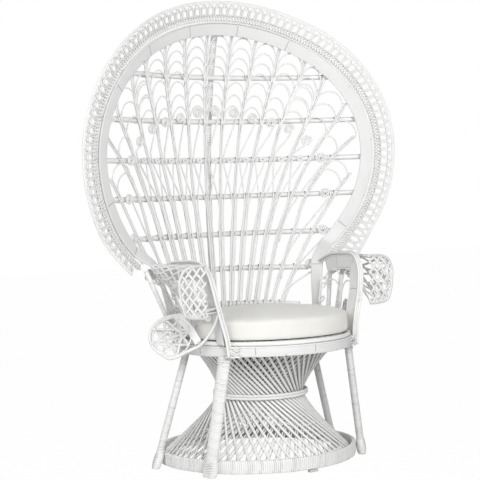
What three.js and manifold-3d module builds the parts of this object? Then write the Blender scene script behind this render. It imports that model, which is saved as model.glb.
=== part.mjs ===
// Peacock chair: a white cane armchair with a tall round back on an hourglass pedestal.
// Millimetres, +Z up, the sitter faces -Y, +X is on the right of a viewer who faces the chair.
// The origin is on the floor under the middle of the chair's overall width and depth.
import * as THREE from 'three';
import Module from 'manifold-3d';

const wasm = await Module();
wasm.setup();

// Driving sizes of the whole chair
const chairHeight = 1500;
const backWidth = 1196;
const baseDiameter = 646;
const waistDiameter = 308;
const waistHeight = 221;
const seatDiameter = 556;
const seatForward = 68;
const seatBandBottom = 366;
const seatBandHeight = 31;
const cushionHeight = 92;
const armHeight = 664;

// Clearances between pieces
const touchGap = 0.4;
const tieGap = 2.5;
const leafGap = 1.5;

// Base hoop, waist hoop and the strands of the pedestal
const baseHoopBottom = 8;
const baseHoopHeight = 42;
const baseHoopThickness = 14;
const waistHoopHeight = 16;
const waistHoopThickness = 9;
const waistGap = 6.5;
const strandWidth = 9;
const strandThickness = 8;
const strandGap = 4;
const strandCount = 44;
const strandTwistDegrees = 47;
const strandRingDrop = 10;
const strandFootHeight = 38;
const strandTopDiameter = 480;
const strandTopDrop = 5;

// Seat frame and cushion
const seatBandThickness = 12;
const rimRodRadius = 7.5;
const deckThickness = 16;
const deckMargin = 12;
const cushionWidth = 536;
const cushionDepth = 515;
const cushionForward = 75;

// Legs, their bindings and the stub feet
const frontLegWidth = 42;
const frontLegThickness = 25;
const sideLegDiameter = 24;
const frontLegDegrees = 57;
const frontLegTopDegrees = 60.4;
const frontLegInset = 9;
const sideLegDegrees = 98.5;
const sideLegTopDegrees = 109.5;
const sideLegInset = 21;
const collarHeight = 14;
const bindingThickness = 4;
const bindingWrapDegrees = 100;
const stubWidth = 30;

// Back: the dished surface that all its pieces lie on
const backPeakY = 202;
const backPeakHeight = 860;
const backCurlRadius = 1920;
const backFootRadius = 5500;
const backArcRadius = 700;
const backArcDegrees = 26.6;
const seatArcRadius = 275;
const seatArcDegrees = 60;
const backArcHeight = 750;

// Back: hoop
const hoopCentreHeight = 990;
const hoopLowerReach = 465;
const borderWidth = 68;
const bandWidth = 42;
const bandThickness = 8;
const bandTurnDegrees = 133;
const hoopEndDegrees = 134;
const outerRodWidth = 7;
const innerRodWidth = 4;
const latticeThickness = 9;
const latticeWindowCount = 36;

// Back: bars, post, ribs, arches and coils
const barRadius = 8.5;
const postRadius = 11;
const ribWidth = 9;
const archWidth = 5;
const coilRadius = 19;
const smallCoilRadius = 12.5;
const coilThickness = 7;
const archRise = 50;
const topArchStep = 33;

// Arms
const armRodRadius = 9;
const armBandWidth = 38;
const armBandThickness = 6;
const armRollWidth = 93;
const armRollHeight = 156;
const armRodWidth = 6;
const mouthLength = 232;
const mouthHeight = 138;
const mouthForward = 99;
const mouthSide = 325;
const mouthRise = 428;
const mouthRodRadius = 5;
const mouthDepth = 35;
const hoopPostRadius = 9;

// Step counts
const hoopSteps = 36;
const ringSteps = 36;
const barSteps = 10;

const fullTurnDegrees = 360;
const radians = THREE.MathUtils.degToRad;
const vec = (x, y, z) => new THREE.Vector3(x, y, z);

// Finishes
const caneWhite = new THREE.MeshStandardMaterial({ color: 0xf1f0ec, roughness: 0.55, metalness: 0 });
const bandWhite = new THREE.MeshStandardMaterial({ color: 0xe9e8e5, roughness: 0.5, metalness: 0 });
const cushionWhite = new THREE.MeshStandardMaterial({ color: 0xf3f1ea, roughness: 0.9, metalness: 0 });

const chair = new THREE.Group();

// Meshes

// A closed mesh from points and faces, turned so that its faces point out
function closedGeometry(points, faces) {
  const triangles = [];
  for (const face of faces) {
    for (let i = 1; i < face.length - 1; i += 1) {
      triangles.push([face[0], face[i], face[i + 1]]);
    }
  }
  let volume = 0;
  for (const [a, b, c] of triangles) {
    volume += points[a].dot(points[b].clone().cross(points[c]));
  }
  const index = triangles.flatMap(([a, b, c]) => (volume > 0 ? [a, b, c] : [a, c, b]));
  const geometry = new THREE.BufferGeometry();
  const places = points.flatMap((point) => point.toArray());
  geometry.setAttribute('position', new THREE.Float32BufferAttribute(places, 3));
  geometry.setIndex(index);
  return geometry;
}

// A run of polygon sections joined side by side, closed by end faces or into a loop
function loft(sections, loop = false) {
  const sides = sections[0].length;
  const faces = [];
  const last = loop ? sections.length : sections.length - 1;
  for (let i = 0; i < last; i += 1) {
    const here = i * sides;
    const next = ((i + 1) % sections.length) * sides;
    for (let j = 0; j < sides; j += 1) {
      const k = (j + 1) % sides;
      faces.push([here + j, here + k, next + k, next + j]);
    }
  }
  if (!loop) {
    const end = (sections.length - 1) * sides;
    faces.push(Array.from({ length: sides }, (unused, j) => sides - 1 - j));
    faces.push(Array.from({ length: sides }, (unused, j) => end + j));
  }
  return closedGeometry(sections.flat(), faces);
}

// Sections of one outline carried along a path; the outline's first axis lies along `across`
function sweep(path, across, outline, loop = false) {
  const count = path.length;
  const sections = path.map((point, i) => {
    const before = path[loop ? (i + count - 1) % count : Math.max(i - 1, 0)];
    const after = path[loop ? (i + 1) % count : Math.min(i + 1, count - 1)];
    const along = after.clone().sub(before).normalize();
    const first = across(point, i).clone();
    first.addScaledVector(along, -first.dot(along)).normalize();
    const second = along.clone().cross(first);
    return outline.map(([u, v]) => point.clone().addScaledVector(first, u).addScaledVector(second, v));
  });
  return loft(sections, loop);
}

// Outlines of sections
const flatOutline = (width, thickness) => [
  [-width / 2, -thickness / 2],
  [width / 2, -thickness / 2],
  [width / 2, thickness / 2],
  [-width / 2, thickness / 2],
];
const roundOutline = (radius, sides) => Array.from({ length: sides }, (unused, i) => {
  const angle = (2 * Math.PI * i) / sides;
  return [radius * Math.cos(angle), radius * Math.sin(angle)];
});

// One body from overlapping closed meshes
function unite(geometries) {
  const solids = geometries.map((geometry) => new wasm.Manifold(new wasm.Mesh({
    numProp: 3,
    vertProperties: geometry.attributes.position.array,
    triVerts: new Uint32Array(geometry.index.array),
  })));
  const mesh = solids.reduce((sum, solid) => sum.add(solid)).getMesh();
  const geometry = new THREE.BufferGeometry();
  geometry.setAttribute('position', new THREE.BufferAttribute(new Float32Array(mesh.vertProperties), 3));
  geometry.setIndex(new THREE.BufferAttribute(new Uint32Array(mesh.triVerts), 1));
  return geometry;
}

// The seat reaches further forward than the pedestal, so all is drawn round the pedestal's axis and then
// moved back until the origin is under the middle of the whole depth.
const middleShift = (seatForward + seatDiameter / 2 - baseDiameter / 2) / 2;
function addPiece(name, geometry, material) {
  geometry.translate(0, middleShift, 0);
  const piece = new THREE.Mesh(geometry, material);
  piece.name = name;
  chair.add(piece);
}

// A curve through a few points, at even steps
const smooth = (points, steps) => new THREE.CatmullRomCurve3(points, false, 'centripetal').getPoints(steps);

// Value at `x` on straight lines between pairs of a table sorted by its first column
function between(table, x) {
  const next = table.findIndex(([key]) => key >= x);
  if (next === 0) return table[0][1];
  if (next < 0) return table[table.length - 1][1];
  const [x0, y0] = table[next - 1];
  const [x1, y1] = table[next];
  return y0 + ((y1 - y0) * (x - x0)) / (x1 - x0);
}

// Places round the chair: `degrees` from the front towards +X, on a circle centred `forward` of the axis
const around = (degrees, radius, z, forward = 0) => {
  const angle = radians(degrees);
  return vec(radius * Math.sin(angle), -forward - radius * Math.cos(angle), z);
};

// A level hoop whose section is given as radius and height pairs
function levelHoop(outline, forward = 0) {
  const sections = Array.from({ length: ringSteps }, (unused, i) => {
    const degrees = (fullTurnDegrees * i) / ringSteps;
    return outline.map(([radius, z]) => around(degrees, radius, z, forward));
  });
  return loft(sections, true);
}

// A wrapped band's section: flat inside, slightly bellied outside
const bellyShare = 0.25;
const bandOutline = (radius, thickness, bottom, height) => [
  [radius - thickness, bottom],
  [radius - thickness * bellyShare, bottom],
  [radius, bottom + height * bellyShare],
  [radius, bottom + height * (1 - bellyShare)],
  [radius - thickness * bellyShare, bottom + height],
  [radius - thickness, bottom + height],
];

// Pedestal

const baseRadius = baseDiameter / 2;
const waistRadius = waistDiameter / 2;
const seatRadius = seatDiameter / 2;
const seatBandTop = seatBandBottom + seatBandHeight;
const rimRodHeight = seatBandTop + touchGap + rimRodRadius;
const seatTop = rimRodHeight + rimRodRadius;

const baseHoopOutline = bandOutline(baseRadius, baseHoopThickness, baseHoopBottom, baseHoopHeight);
addPiece('base_hoop', levelHoop(baseHoopOutline), bandWhite);

// The waist hoop is two half-round canes, one above the other. It lies halfway between the pedestal's axis
// and the seat's, where the straight strands cross.
const waistForward = seatForward / 2;
const waistInner = waistRadius - waistHoopThickness;
const waistGrooveShare = 0.6;
addPiece('waist_hoop', levelHoop([
  [waistInner, waistHeight - waistHoopHeight / 2],
  [waistRadius, waistHeight - waistHoopHeight / 4],
  [waistInner + waistHoopThickness * waistGrooveShare, waistHeight],
  [waistRadius, waistHeight + waistHoopHeight / 4],
  [waistInner, waistHeight + waistHoopHeight / 2],
], waistForward), caneWhite);

// A family of strands stands on its own ring inside the base hoop. Each strand leans one way round
// from the ring to the waist and on to the seat, in two straight runs. `inset` moves it inwards.
function strandFamily(inset, turn) {
  const half = strandThickness / 2;
  const floors = [
    { z: strandFootHeight, radius: baseRadius - baseHoopThickness - tieGap - half, forward: 0, lead: 1 },
    { z: waistHeight, radius: waistInner - waistGap - half, forward: waistForward, lead: 0 },
    { z: seatBandTop - strandTopDrop, radius: strandTopDiameter / 2, forward: seatForward, lead: -1 },
  ];
  const points = [];
  const faces = [];
  const corner = (floor, degrees, side, depth, drop = 0) => {
    const radius = floor.radius - inset;
    const spread = THREE.MathUtils.radToDeg(strandWidth / 2 / radius);
    return around(degrees + side * spread, radius + depth, floor.z - drop, floor.forward);
  };
  const stations = floors.length;
  for (let i = 0; i < strandCount; i += 1) {
    const start = (fullTurnDegrees * i) / strandCount;
    floors.forEach((floor) => {
      const degrees = start + turn * strandTwistDegrees * floor.lead;
      points.push(corner(floor, degrees, -1, -half), corner(floor, degrees, 1, -half));
      points.push(corner(floor, degrees, 1, half), corner(floor, degrees, -1, half));
    });
    const foot = start + turn * strandTwistDegrees;
    const keels = [-1, 1].map((side) => corner(floors[0], foot, side, 0, strandRingDrop));
    points.push(...keels);
  }
  const perStrand = stations * 4 + 2;
  for (let i = 0; i < strandCount; i += 1) {
    const base = i * perStrand;
    const next = ((i + 1) % strandCount) * perStrand;
    for (let floor = 0; floor < stations - 1; floor += 1) {
      for (let j = 0; j < 4; j += 1) {
        const k = (j + 1) % 4;
        const low = base + floor * 4;
        faces.push([low + j, low + k, low + 4 + k, low + 4 + j]);
      }
    }
    const top = base + (stations - 1) * 4;
    faces.push([top, top + 1, top + 2, top + 3]);
    const keel = base + stations * 4;
    const nextKeel = next + stations * 4;
    // Under the strand the ring shows its two slopes, and between strands its top as well
    faces.push([base + 1, base, keel, keel + 1]);
    faces.push([base + 3, base + 2, keel + 1, keel]);
    faces.push([base + 2, base + 1, next, next + 3]);
    faces.push([next, base + 1, keel + 1, nextKeel]);
    faces.push([base + 2, next + 3, nextKeel, keel + 1]);
  }
  return closedGeometry(points, faces);
}
addPiece('pedestal_outer_strands', strandFamily(0, 1), caneWhite);
addPiece('pedestal_inner_strands', strandFamily(strandThickness + strandGap, -1), caneWhite);

// Seat

const seatBandOutline = bandOutline(seatRadius, seatBandThickness, seatBandBottom, seatBandHeight);
addPiece('seat_band', levelHoop(seatBandOutline, seatForward), bandWhite);

const rimRodCircle = seatRadius - rimRodRadius - touchGap;
const rimSides = 6;
addPiece('seat_rim_rod', levelHoop(
  roundOutline(rimRodRadius, rimSides).map(([u, v]) => [rimRodCircle + u, rimRodHeight + v]),
  seatForward,
), caneWhite);

const deckRadius = rimRodCircle - rimRodRadius - deckMargin;
const deckSides = 28;
const deck = new THREE.CylinderGeometry(deckRadius, deckRadius, deckThickness, deckSides);
deck.rotateX(Math.PI / 2);
deck.translate(0, -seatForward, seatTop - touchGap - deckThickness / 2);
addPiece('seat_deck', deck, caneWhite);

// The cushion is a loose round pad: drawn in at its foot, full at its side and crowned on top
const cushionBottom = seatTop + touchGap;
const cushionRowShares = [
  [0.9, 0], [0.985, 0.12], [1, 0.32], [0.98, 0.52], [0.9, 0.68], [0.72, 0.84], [0.4, 0.96],
];
const cushionSides = 28;
const cushionRing = ([reach, rise]) => Array.from({ length: cushionSides }, (unused, i) => {
  const angle = (2 * Math.PI * i) / cushionSides;
  return vec(
    (cushionWidth / 2) * reach * Math.sin(angle),
    -cushionForward - (cushionDepth / 2) * reach * Math.cos(angle),
    cushionBottom + cushionHeight * rise,
  );
});
const cushionPoints = cushionRowShares.flatMap(cushionRing);
const cushionRows = cushionRowShares.length;
const cushionFaces = [];
for (let row = 0; row < cushionRows - 1; row += 1) {
  for (let i = 0; i < cushionSides; i += 1) {
    const j = (i + 1) % cushionSides;
    const low = row * cushionSides;
    cushionFaces.push([low + i, low + j, low + cushionSides + j, low + cushionSides + i]);
  }
}
const footCentre = cushionPoints.length;
for (const z of [cushionBottom, cushionBottom + cushionHeight]) {
  cushionPoints.push(vec(0, -cushionForward, z));
}
for (let i = 0; i < cushionSides; i += 1) {
  const j = (i + 1) % cushionSides;
  const top = (cushionRows - 1) * cushionSides;
  cushionFaces.push([footCentre, j, i], [footCentre + 1, top + i, top + j]);
}
addPiece('seat_cushion', closedGeometry(cushionPoints, cushionFaces), cushionWhite);

// Legs

// A leg leans inwards from the outside of the base hoop until it stands under the seat band, cut level
// at both ends. Its sections are level ovals, `width` round the chair and `thickness` outwards.
const legSides = 8;
const baseHoopTop = baseHoopBottom + baseHoopHeight;
const legTopHeight = seatBandBottom - touchGap;
const legAxis = ({ degrees, topDegrees, topInset, thickness }, z) => {
  const low = around(degrees, baseRadius + tieGap + thickness / 2, baseHoopTop);
  const high = around(topDegrees, seatRadius - topInset, legTopHeight, seatForward);
  const rise = (z - baseHoopTop) / (legTopHeight - baseHoopTop);
  return low.addScaledVector(high.sub(low), rise);
};
function legOval(leg, z, grow = 0, wrap = fullTurnDegrees, steps = legSides) {
  const { degrees, width, thickness } = leg;
  const centre = legAxis(leg, z);
  const out = around(degrees, 1, 0);
  const along = around(degrees + 90, 1, 0);
  const closed = wrap === fullTurnDegrees;
  return Array.from({ length: closed ? steps : steps + 1 }, (unused, i) => {
    const angle = closed ? (2 * Math.PI * (i + 0.5)) / steps : radians(-wrap + (2 * wrap * i) / steps);
    return centre.clone()
      .addScaledVector(out, (thickness / 2 + grow) * Math.cos(angle))
      .addScaledVector(along, (width / 2 + grow) * Math.sin(angle));
  });
}

// A binding is a strap bent round the outer side of a leg
const bindingSteps = 8;
function legBinding(leg, bottom, height) {
  const strap = (z) => {
    const inner = legOval(leg, z, touchGap, bindingWrapDegrees, bindingSteps);
    const outer = legOval(leg, z, bindingThickness, bindingWrapDegrees, bindingSteps);
    return inner.concat(outer.reverse());
  };
  const sections = [strap(bottom), strap(bottom + height)];
  const sides = sections[0].length;
  const faces = [];
  for (let j = 0; j < sides; j += 1) {
    const k = (j + 1) % sides;
    faces.push([j, k, sides + k, sides + j]);
  }
  for (let j = 0; j < bindingSteps; j += 1) {
    const far = sides - 1 - j;
    faces.push([j + 1, j, far, far - 1]);
    faces.push([sides + j, sides + j + 1, sides + far - 1, sides + far]);
  }
  return closedGeometry(sections.flat(), faces);
}

const frontLeg = {
  degrees: frontLegDegrees,
  topDegrees: frontLegTopDegrees,
  topInset: frontLegInset,
  width: frontLegWidth,
  thickness: frontLegThickness,
};
const sideLeg = {
  degrees: sideLegDegrees,
  topDegrees: sideLegTopDegrees,
  topInset: sideLegInset,
  width: sideLegDiameter,
  thickness: sideLegDiameter,
};
for (const [word, side] of [['left', -1], ['right', 1]]) {
  for (const [place, shape] of [['front', frontLeg], ['side', sideLeg]]) {
    const leg = { ...shape, degrees: side * shape.degrees, topDegrees: side * shape.topDegrees };
    addPiece(`leg_${place}_${word}`, loft([legOval(leg, 0), legOval(leg, legTopHeight)]), bandWhite);
    addPiece(`foot_binding_${place}_${word}`, legBinding(leg, baseHoopBottom, baseHoopHeight), caneWhite);
    if (place === 'front') {
      const collarBottom = legTopHeight - tieGap - collarHeight;
      addPiece(`seat_binding_${place}_${word}`, legBinding(leg, collarBottom, collarHeight), caneWhite);
    }
  }
}

// Stub feet carry the base hoop at the front and at the back
const stubCircle = baseRadius - baseHoopThickness / 2;
for (const [name, side] of [['front', -1], ['rear', 1]]) {
  const height = baseHoopBottom - touchGap;
  const stub = new THREE.BoxGeometry(stubWidth, baseHoopThickness, height);
  stub.translate(0, side * stubCircle, height / 2);
  addPiece(`stub_foot_${name}`, stub, caneWhite);
}

// Back surface

// Depth of the back on its centre line: upright below, curling forward above
function backCentre(z) {
  const up = Math.max(z - backPeakHeight, 0);
  const down = Math.max(backPeakHeight - z, 0);
  return backPeakY - (up * up) / (2 * backCurlRadius) - (down * down) / (2 * backFootRadius);
}

// Depth anywhere: across the back an arc that runs on straight past its angle, tighter near the seat
function backDepth(x, z) {
  const share = THREE.MathUtils.smoothstep(z, seatTop, backArcHeight);
  const radius = THREE.MathUtils.lerp(seatArcRadius, backArcRadius, share);
  const angle = radians(THREE.MathUtils.lerp(seatArcDegrees, backArcDegrees, share));
  const edge = radius * Math.sin(angle);
  const inside = Math.min(Math.abs(x), edge);
  const past = Math.abs(x) - inside;
  return backCentre(z) - (radius - Math.sqrt(radius * radius - inside * inside)) - past * Math.tan(angle);
}

// The way out of the back surface, towards the rear
const slopeStep = 1;
function backNormal(x, z) {
  const slopeX = (backDepth(x + slopeStep, z) - backDepth(x - slopeStep, z)) / (2 * slopeStep);
  const slopeZ = (backDepth(x, z + slopeStep) - backDepth(x, z - slopeStep)) / (2 * slopeStep);
  return vec(-slopeX, 1, -slopeZ).normalize();
}
const onBack = (x, z, offset = 0) => vec(x, backDepth(x, z), z).addScaledVector(backNormal(x, z), offset);

// Layers behind the band's own: ribs, then cross bars, then the post
const ribLayer = bandThickness / 2 + tieGap + ribWidth / 2;
const barLayer = ribLayer + ribWidth / 2 + tieGap + barRadius;
const postLayer = barLayer + barRadius + tieGap + postRadius;

// Hoop

// Lines of the hoop are half ellipses above and below its widest height; `grow` moves a line outwards
// from the line between border and band
const hoopHalfWidth = backWidth / 2 - borderWidth;
const hoopUpperReach = chairHeight - borderWidth - hoopCentreHeight;
const hoopLine = (degrees, grow) => {
  const angle = radians(degrees);
  const reach = (Math.cos(angle) > 0 ? hoopUpperReach : hoopLowerReach) + grow;
  return [(hoopHalfWidth + grow) * Math.sin(angle), hoopCentreHeight + reach * Math.cos(angle)];
};
const evenly = (from, to, steps) => (
  Array.from({ length: steps + 1 }, (unused, i) => from + ((to - from) * i) / steps)
);
const hoopAngles = evenly(-hoopEndDegrees, hoopEndDegrees, hoopSteps);
const hoopPath = (grow, offset = 0) => hoopAngles.map((degrees) => {
  const [x, z] = hoopLine(degrees, grow);
  return onBack(x, z, offset);
});
const acrossBack = (point) => backNormal(point.x, point.z);

addPiece('hoop_outer_rod', sweep(
  hoopPath(borderWidth - outerRodWidth / 2),
  acrossBack,
  flatOutline(outerRodWidth, outerRodWidth),
), caneWhite);
addPiece('hoop_inner_rod', sweep(
  hoopPath(innerRodWidth / 2 - touchGap, -(bandThickness / 2 + tieGap + innerRodWidth / 2)),
  acrossBack,
  flatOutline(innerRodWidth, innerRodWidth),
), caneWhite);

// The lattice is a flat ladder: a braided inner rail, rungs, and an outer rail
const railShares = [0.05, 0.34, 0.66, 0.87];
const rungShare = 0.3;
const latticeColumns = [];
for (let i = 0; i < latticeWindowCount; i += 1) {
  const step = (2 * hoopEndDegrees) / latticeWindowCount;
  const start = -hoopEndDegrees + step * i;
  latticeColumns.push(start + (step * rungShare) / 2, start + step * (1 - rungShare / 2));
}
latticeColumns.unshift(-hoopEndDegrees);
latticeColumns.push(hoopEndDegrees);
const latticePoints = latticeColumns.flatMap((degrees) => railShares.flatMap((share) => {
  const [x, z] = hoopLine(degrees, borderWidth * share);
  return [onBack(x, z, -latticeThickness / 2), onBack(x, z, latticeThickness / 2)];
}));
const latticeFaces = [];
const perColumn = railShares.length * 2;
for (let column = 0; column < latticeColumns.length - 1; column += 1) {
  const a = column * perColumn;
  const b = a + perColumn;
  const isWindow = column % 2 === 1;
  for (let rail = 0; rail < railShares.length - 1; rail += 1) {
    const low = rail * 2;
    const open = isWindow && rail === 1;
    if (!open) {
      latticeFaces.push([a + low, a + low + 2, b + low + 2, b + low]);
      latticeFaces.push([a + low + 1, b + low + 1, b + low + 3, a + low + 3]);
    } else {
      latticeFaces.push([a + low, a + low + 2, a + low + 3, a + low + 1]);
      latticeFaces.push([b + low, b + low + 1, b + low + 3, b + low + 2]);
      latticeFaces.push([a + low, a + low + 1, b + low + 1, b + low]);
      latticeFaces.push([a + low + 2, b + low + 2, b + low + 3, a + low + 3]);
    }
  }
  const outer = (railShares.length - 1) * 2;
  latticeFaces.push([a, b, b + 1, a + 1]);
  latticeFaces.push([a + outer, a + outer + 1, b + outer + 1, b + outer]);
}
const lastColumn = (latticeColumns.length - 1) * perColumn;
for (let rail = 0; rail < railShares.length - 1; rail += 1) {
  const low = rail * 2;
  latticeFaces.push([low, low + 1, low + 3, low + 2]);
  latticeFaces.push([lastColumn + low, lastColumn + low + 2, lastColumn + low + 3, lastColumn + low + 1]);
}
addPiece('hoop_lattice', closedGeometry(latticePoints, latticeFaces), caneWhite);

// The wide band follows the hoop and then runs down and forward to the side of the seat
const bandMiddle = -bandWidth / 2;
const bandSteps = 32;
const bandArc = evenly(0, bandTurnDegrees, bandSteps / 2).map((degrees) => {
  const [x, z] = hoopLine(degrees, bandMiddle);
  return onBack(x, z);
});
const bandFootDegrees = 108;
const bandFootRadius = seatRadius + tieGap + bandThickness;
const bandFoot = around(bandFootDegrees, bandFootRadius, seatTop - seatBandHeight / 2, seatForward);
const bandLegShares = [
  { rise: 0.82, side: 0.48, back: 0.6 },
  { rise: 0.6, side: 0.38, back: 0.42 },
  { rise: 0.33, side: 0.3, back: 0.22 },
  { rise: 0, side: 0, back: 0 },
];
const bandTurn = bandArc[bandArc.length - 1];
const bandLeg = bandLegShares.map(({ rise, side, back }) => vec(
  bandFoot.x + (bandTurn.x - bandFoot.x) * side * rise,
  bandFoot.y + (bandTurn.y - bandFoot.y) * back,
  bandFoot.z + (bandTurn.z - bandFoot.z) * rise,
));
const bandLegSteps = 8;
const bandLegPath = smooth([bandTurn, ...bandLeg], bandLegSteps).slice(1);
const bandRight = bandArc.concat(bandLegPath);
const mirrored = (point) => vec(-point.x, point.y, point.z);
const bandPath = bandRight.slice(1).reverse().map(mirrored).concat(bandRight);
const sideward = vec(1, 0, 0);
const bandAcross = (point) => {
  const leaning = point.z > bandTurn.z ? 1 : (point.z - bandFoot.z) / (bandTurn.z - bandFoot.z);
  const foot = sideward.clone().multiplyScalar(Math.sign(point.x));
  return backNormal(point.x, Math.max(point.z, bandTurn.z)).lerp(foot, 1 - leaning).normalize();
};
addPiece('hoop_wide_band', sweep(bandPath, bandAcross, flatOutline(bandThickness, bandWidth)), bandWhite);

// Half width of the band's middle at a height, for everything that ends behind the band, and its depth
const bandReachTable = bandRight.map((point) => [point.z, point.x]).sort((a, b) => a[0] - b[0]);
const bandDepthTable = bandRight.map((point) => [point.z, point.y]).sort((a, b) => a[0] - b[0]);
const bandReach = (z) => between(bandReachTable, z);

// Bars and post

const backSpan = chairHeight - seatTop;
const barRiseShares = [0.771, 0.638, 0.52, 0.408, 0.291, 0.183, 0.073];
const barHeights = barRiseShares.map((share) => seatTop + backSpan * share);
const barSides = 6;
barHeights.forEach((height, i) => {
  const reach = bandReach(height) - (i === barHeights.length - 1 ? bandWidth : 0);
  const path = evenly(-reach, reach, barSteps).map((x) => onBack(x, height, barLayer));
  addPiece(`cross_bar_${i + 1}`, sweep(path, acrossBack, roundOutline(barRadius, barSides)), caneWhite);
});

const postTop = chairHeight - borderWidth - bandWidth / 2;
const postSteps = 8;
const postPath = evenly(seatBandBottom, postTop, postSteps).map((z) => onBack(0, z, postLayer));
addPiece('rear_post', sweep(postPath, acrossBack, roundOutline(postRadius, barSides)), caneWhite);

// Ribs, arches and coils

// Each rib's side reach as a share of half the back's width, at its top, at the bars and at the seat
const halfWidth = backWidth / 2;
const ribShares = [
  { top: 0.079, bars: [0.0686, 0.056, 0.0485, 0.0443, 0.0351, 0.031, 0.0268], foot: 0.023 },
  { top: 0.229, bars: [0.204, 0.17, 0.15, 0.131, 0.111, 0.091, 0.07], foot: 0.0635 },
  { top: 0.368, bars: [0.344, 0.2935, 0.2467, 0.209, 0.1756, 0.146, 0.117], foot: 0.105 },
  { top: 0.507, bars: [0.4925, 0.4055, 0.351, 0.296, 0.248, 0.205, 0.162], foot: 0.146 },
  { top: 0.625, bars: [0.617, 0.539, 0.4515, 0.379, 0.315, 0.261, 0.207], foot: 0.187 },
  { top: 0.736, bars: [0.69, 0.56, 0.465, 0.386, 0.322, 0.2575], foot: 0.23 },
  { top: 0.79, bars: [0.6756, 0.5385, 0.463, 0.378, 0.2926], foot: 0.262 },
  { top: 0.77, bars: [0.69, 0.561, 0.447, 0.334], foot: 0.295 },
];
const ribTopHeight = (reach) => {
  const upper = bandReachTable.filter(([z]) => z > hoopCentreHeight);
  const heights = upper.map(([z, x]) => [x, z]).sort((a, b) => a[0] - b[0]);
  return between(heights, reach);
};
const ribTopDrop = 3;
const risen = (share) => seatTop + backSpan * share;
const lowRibTopShares = [0.69, 0.585, 0.47];
const highRibCount = ribShares.length - lowRibTopShares.length;
const ribTables = ribShares.map(({ top, bars, foot }, i) => {
  const firstBar = barHeights.length - bars.length;
  const topReach = top * halfWidth;
  const lowRib = i - highRibCount;
  const topHeight = lowRib < 0 ? ribTopHeight(topReach) - ribTopDrop : risen(lowRibTopShares[lowRib]);
  const rows = bars.map((share, bar) => [barHeights[firstBar + bar], share * halfWidth]);
  return [[topHeight, topReach], ...rows, [seatTop + touchGap + ribWidth / 4, foot * halfWidth]].reverse();
});
const ribAt = (rib, z) => between(ribTables[rib], z);
const leafPoint = (side, x, z) => onBack(side * x, z, ribLayer);
const ribSides = 4;
const ribSection = roundOutline(ribWidth / 2, ribSides);
const archSides = 3;
const archSection = roundOutline(archWidth / 2, archSides);

// A coil: a flat round plate that stands for the wound cane end
const coilSides = 7;
function coil(side, x, z, radius) {
  const middle = leafPoint(side, x, z);
  const out = acrossBack(middle);
  const rim = (shift) => Array.from({ length: coilSides }, (unused, i) => {
    const angle = (2 * Math.PI * (i + 0.5)) / coilSides;
    const right = vec(0, 0, 1).cross(out).normalize();
    const up = out.clone().cross(right);
    return middle.clone()
      .addScaledVector(out, shift)
      .addScaledVector(right, radius * Math.cos(angle))
      .addScaledVector(up, radius * Math.sin(angle));
  });
  return loft([rim(-coilThickness / 2), rim(coilThickness / 2)]);
}

// A straight cane between two places on the back
const cane = (side, from, to) => {
  const middle = [(from[0] + to[0]) / 2, (from[1] + to[1]) / 2];
  const path = [from, middle, to].map(([x, z]) => leafPoint(side, x, z));
  return sweep(path, acrossBack, archSection);
};

// An arch between two side reaches: half an ellipse under its crown
const archSteps = 5;
function arch(side, from, to, crown, rise) {
  const path = evenly(0, Math.PI, archSteps).map((angle) => leafPoint(
    side,
    (from + to) / 2 - ((to - from) / 2) * Math.cos(angle),
    crown - rise + rise * Math.sin(angle),
  ));
  return sweep(path, acrossBack, archSection);
}

// Crowns of the nested arches in each column, and its two coils, as shares of the back's rise
const topArchCount = 3;
const topColumnCount = 4;
const lastStemColumnIndex = 5;
const columnShares = [
  { low: [0.758, 0.72], coil: [0.0, 0.668], small: true },
  { low: [0.758, 0.72], coil: [0.117, 0.665], small: true },
  { low: [0.758, 0.718], coil: [0.234, 0.65], small: true },
  { low: [0.756, 0.712], coil: [0.343, 0.635], small: true },
  { low: [0.752, 0.706], coil: [0.443, 0.614], small: true },
  { low: [0.728, 0.69], coil: [0.538, 0.576], small: true },
  { low: [0.636, 0.59], coil: [0.608, 0.521], small: false },
  { low: [0.512, 0.484], coil: [0.634, 0.409], small: false },
];
const legClear = ribWidth / 2 + archWidth / 2 + leafGap;
const coilBarIndex = 2;
const tailBarIndex = 3;

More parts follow.
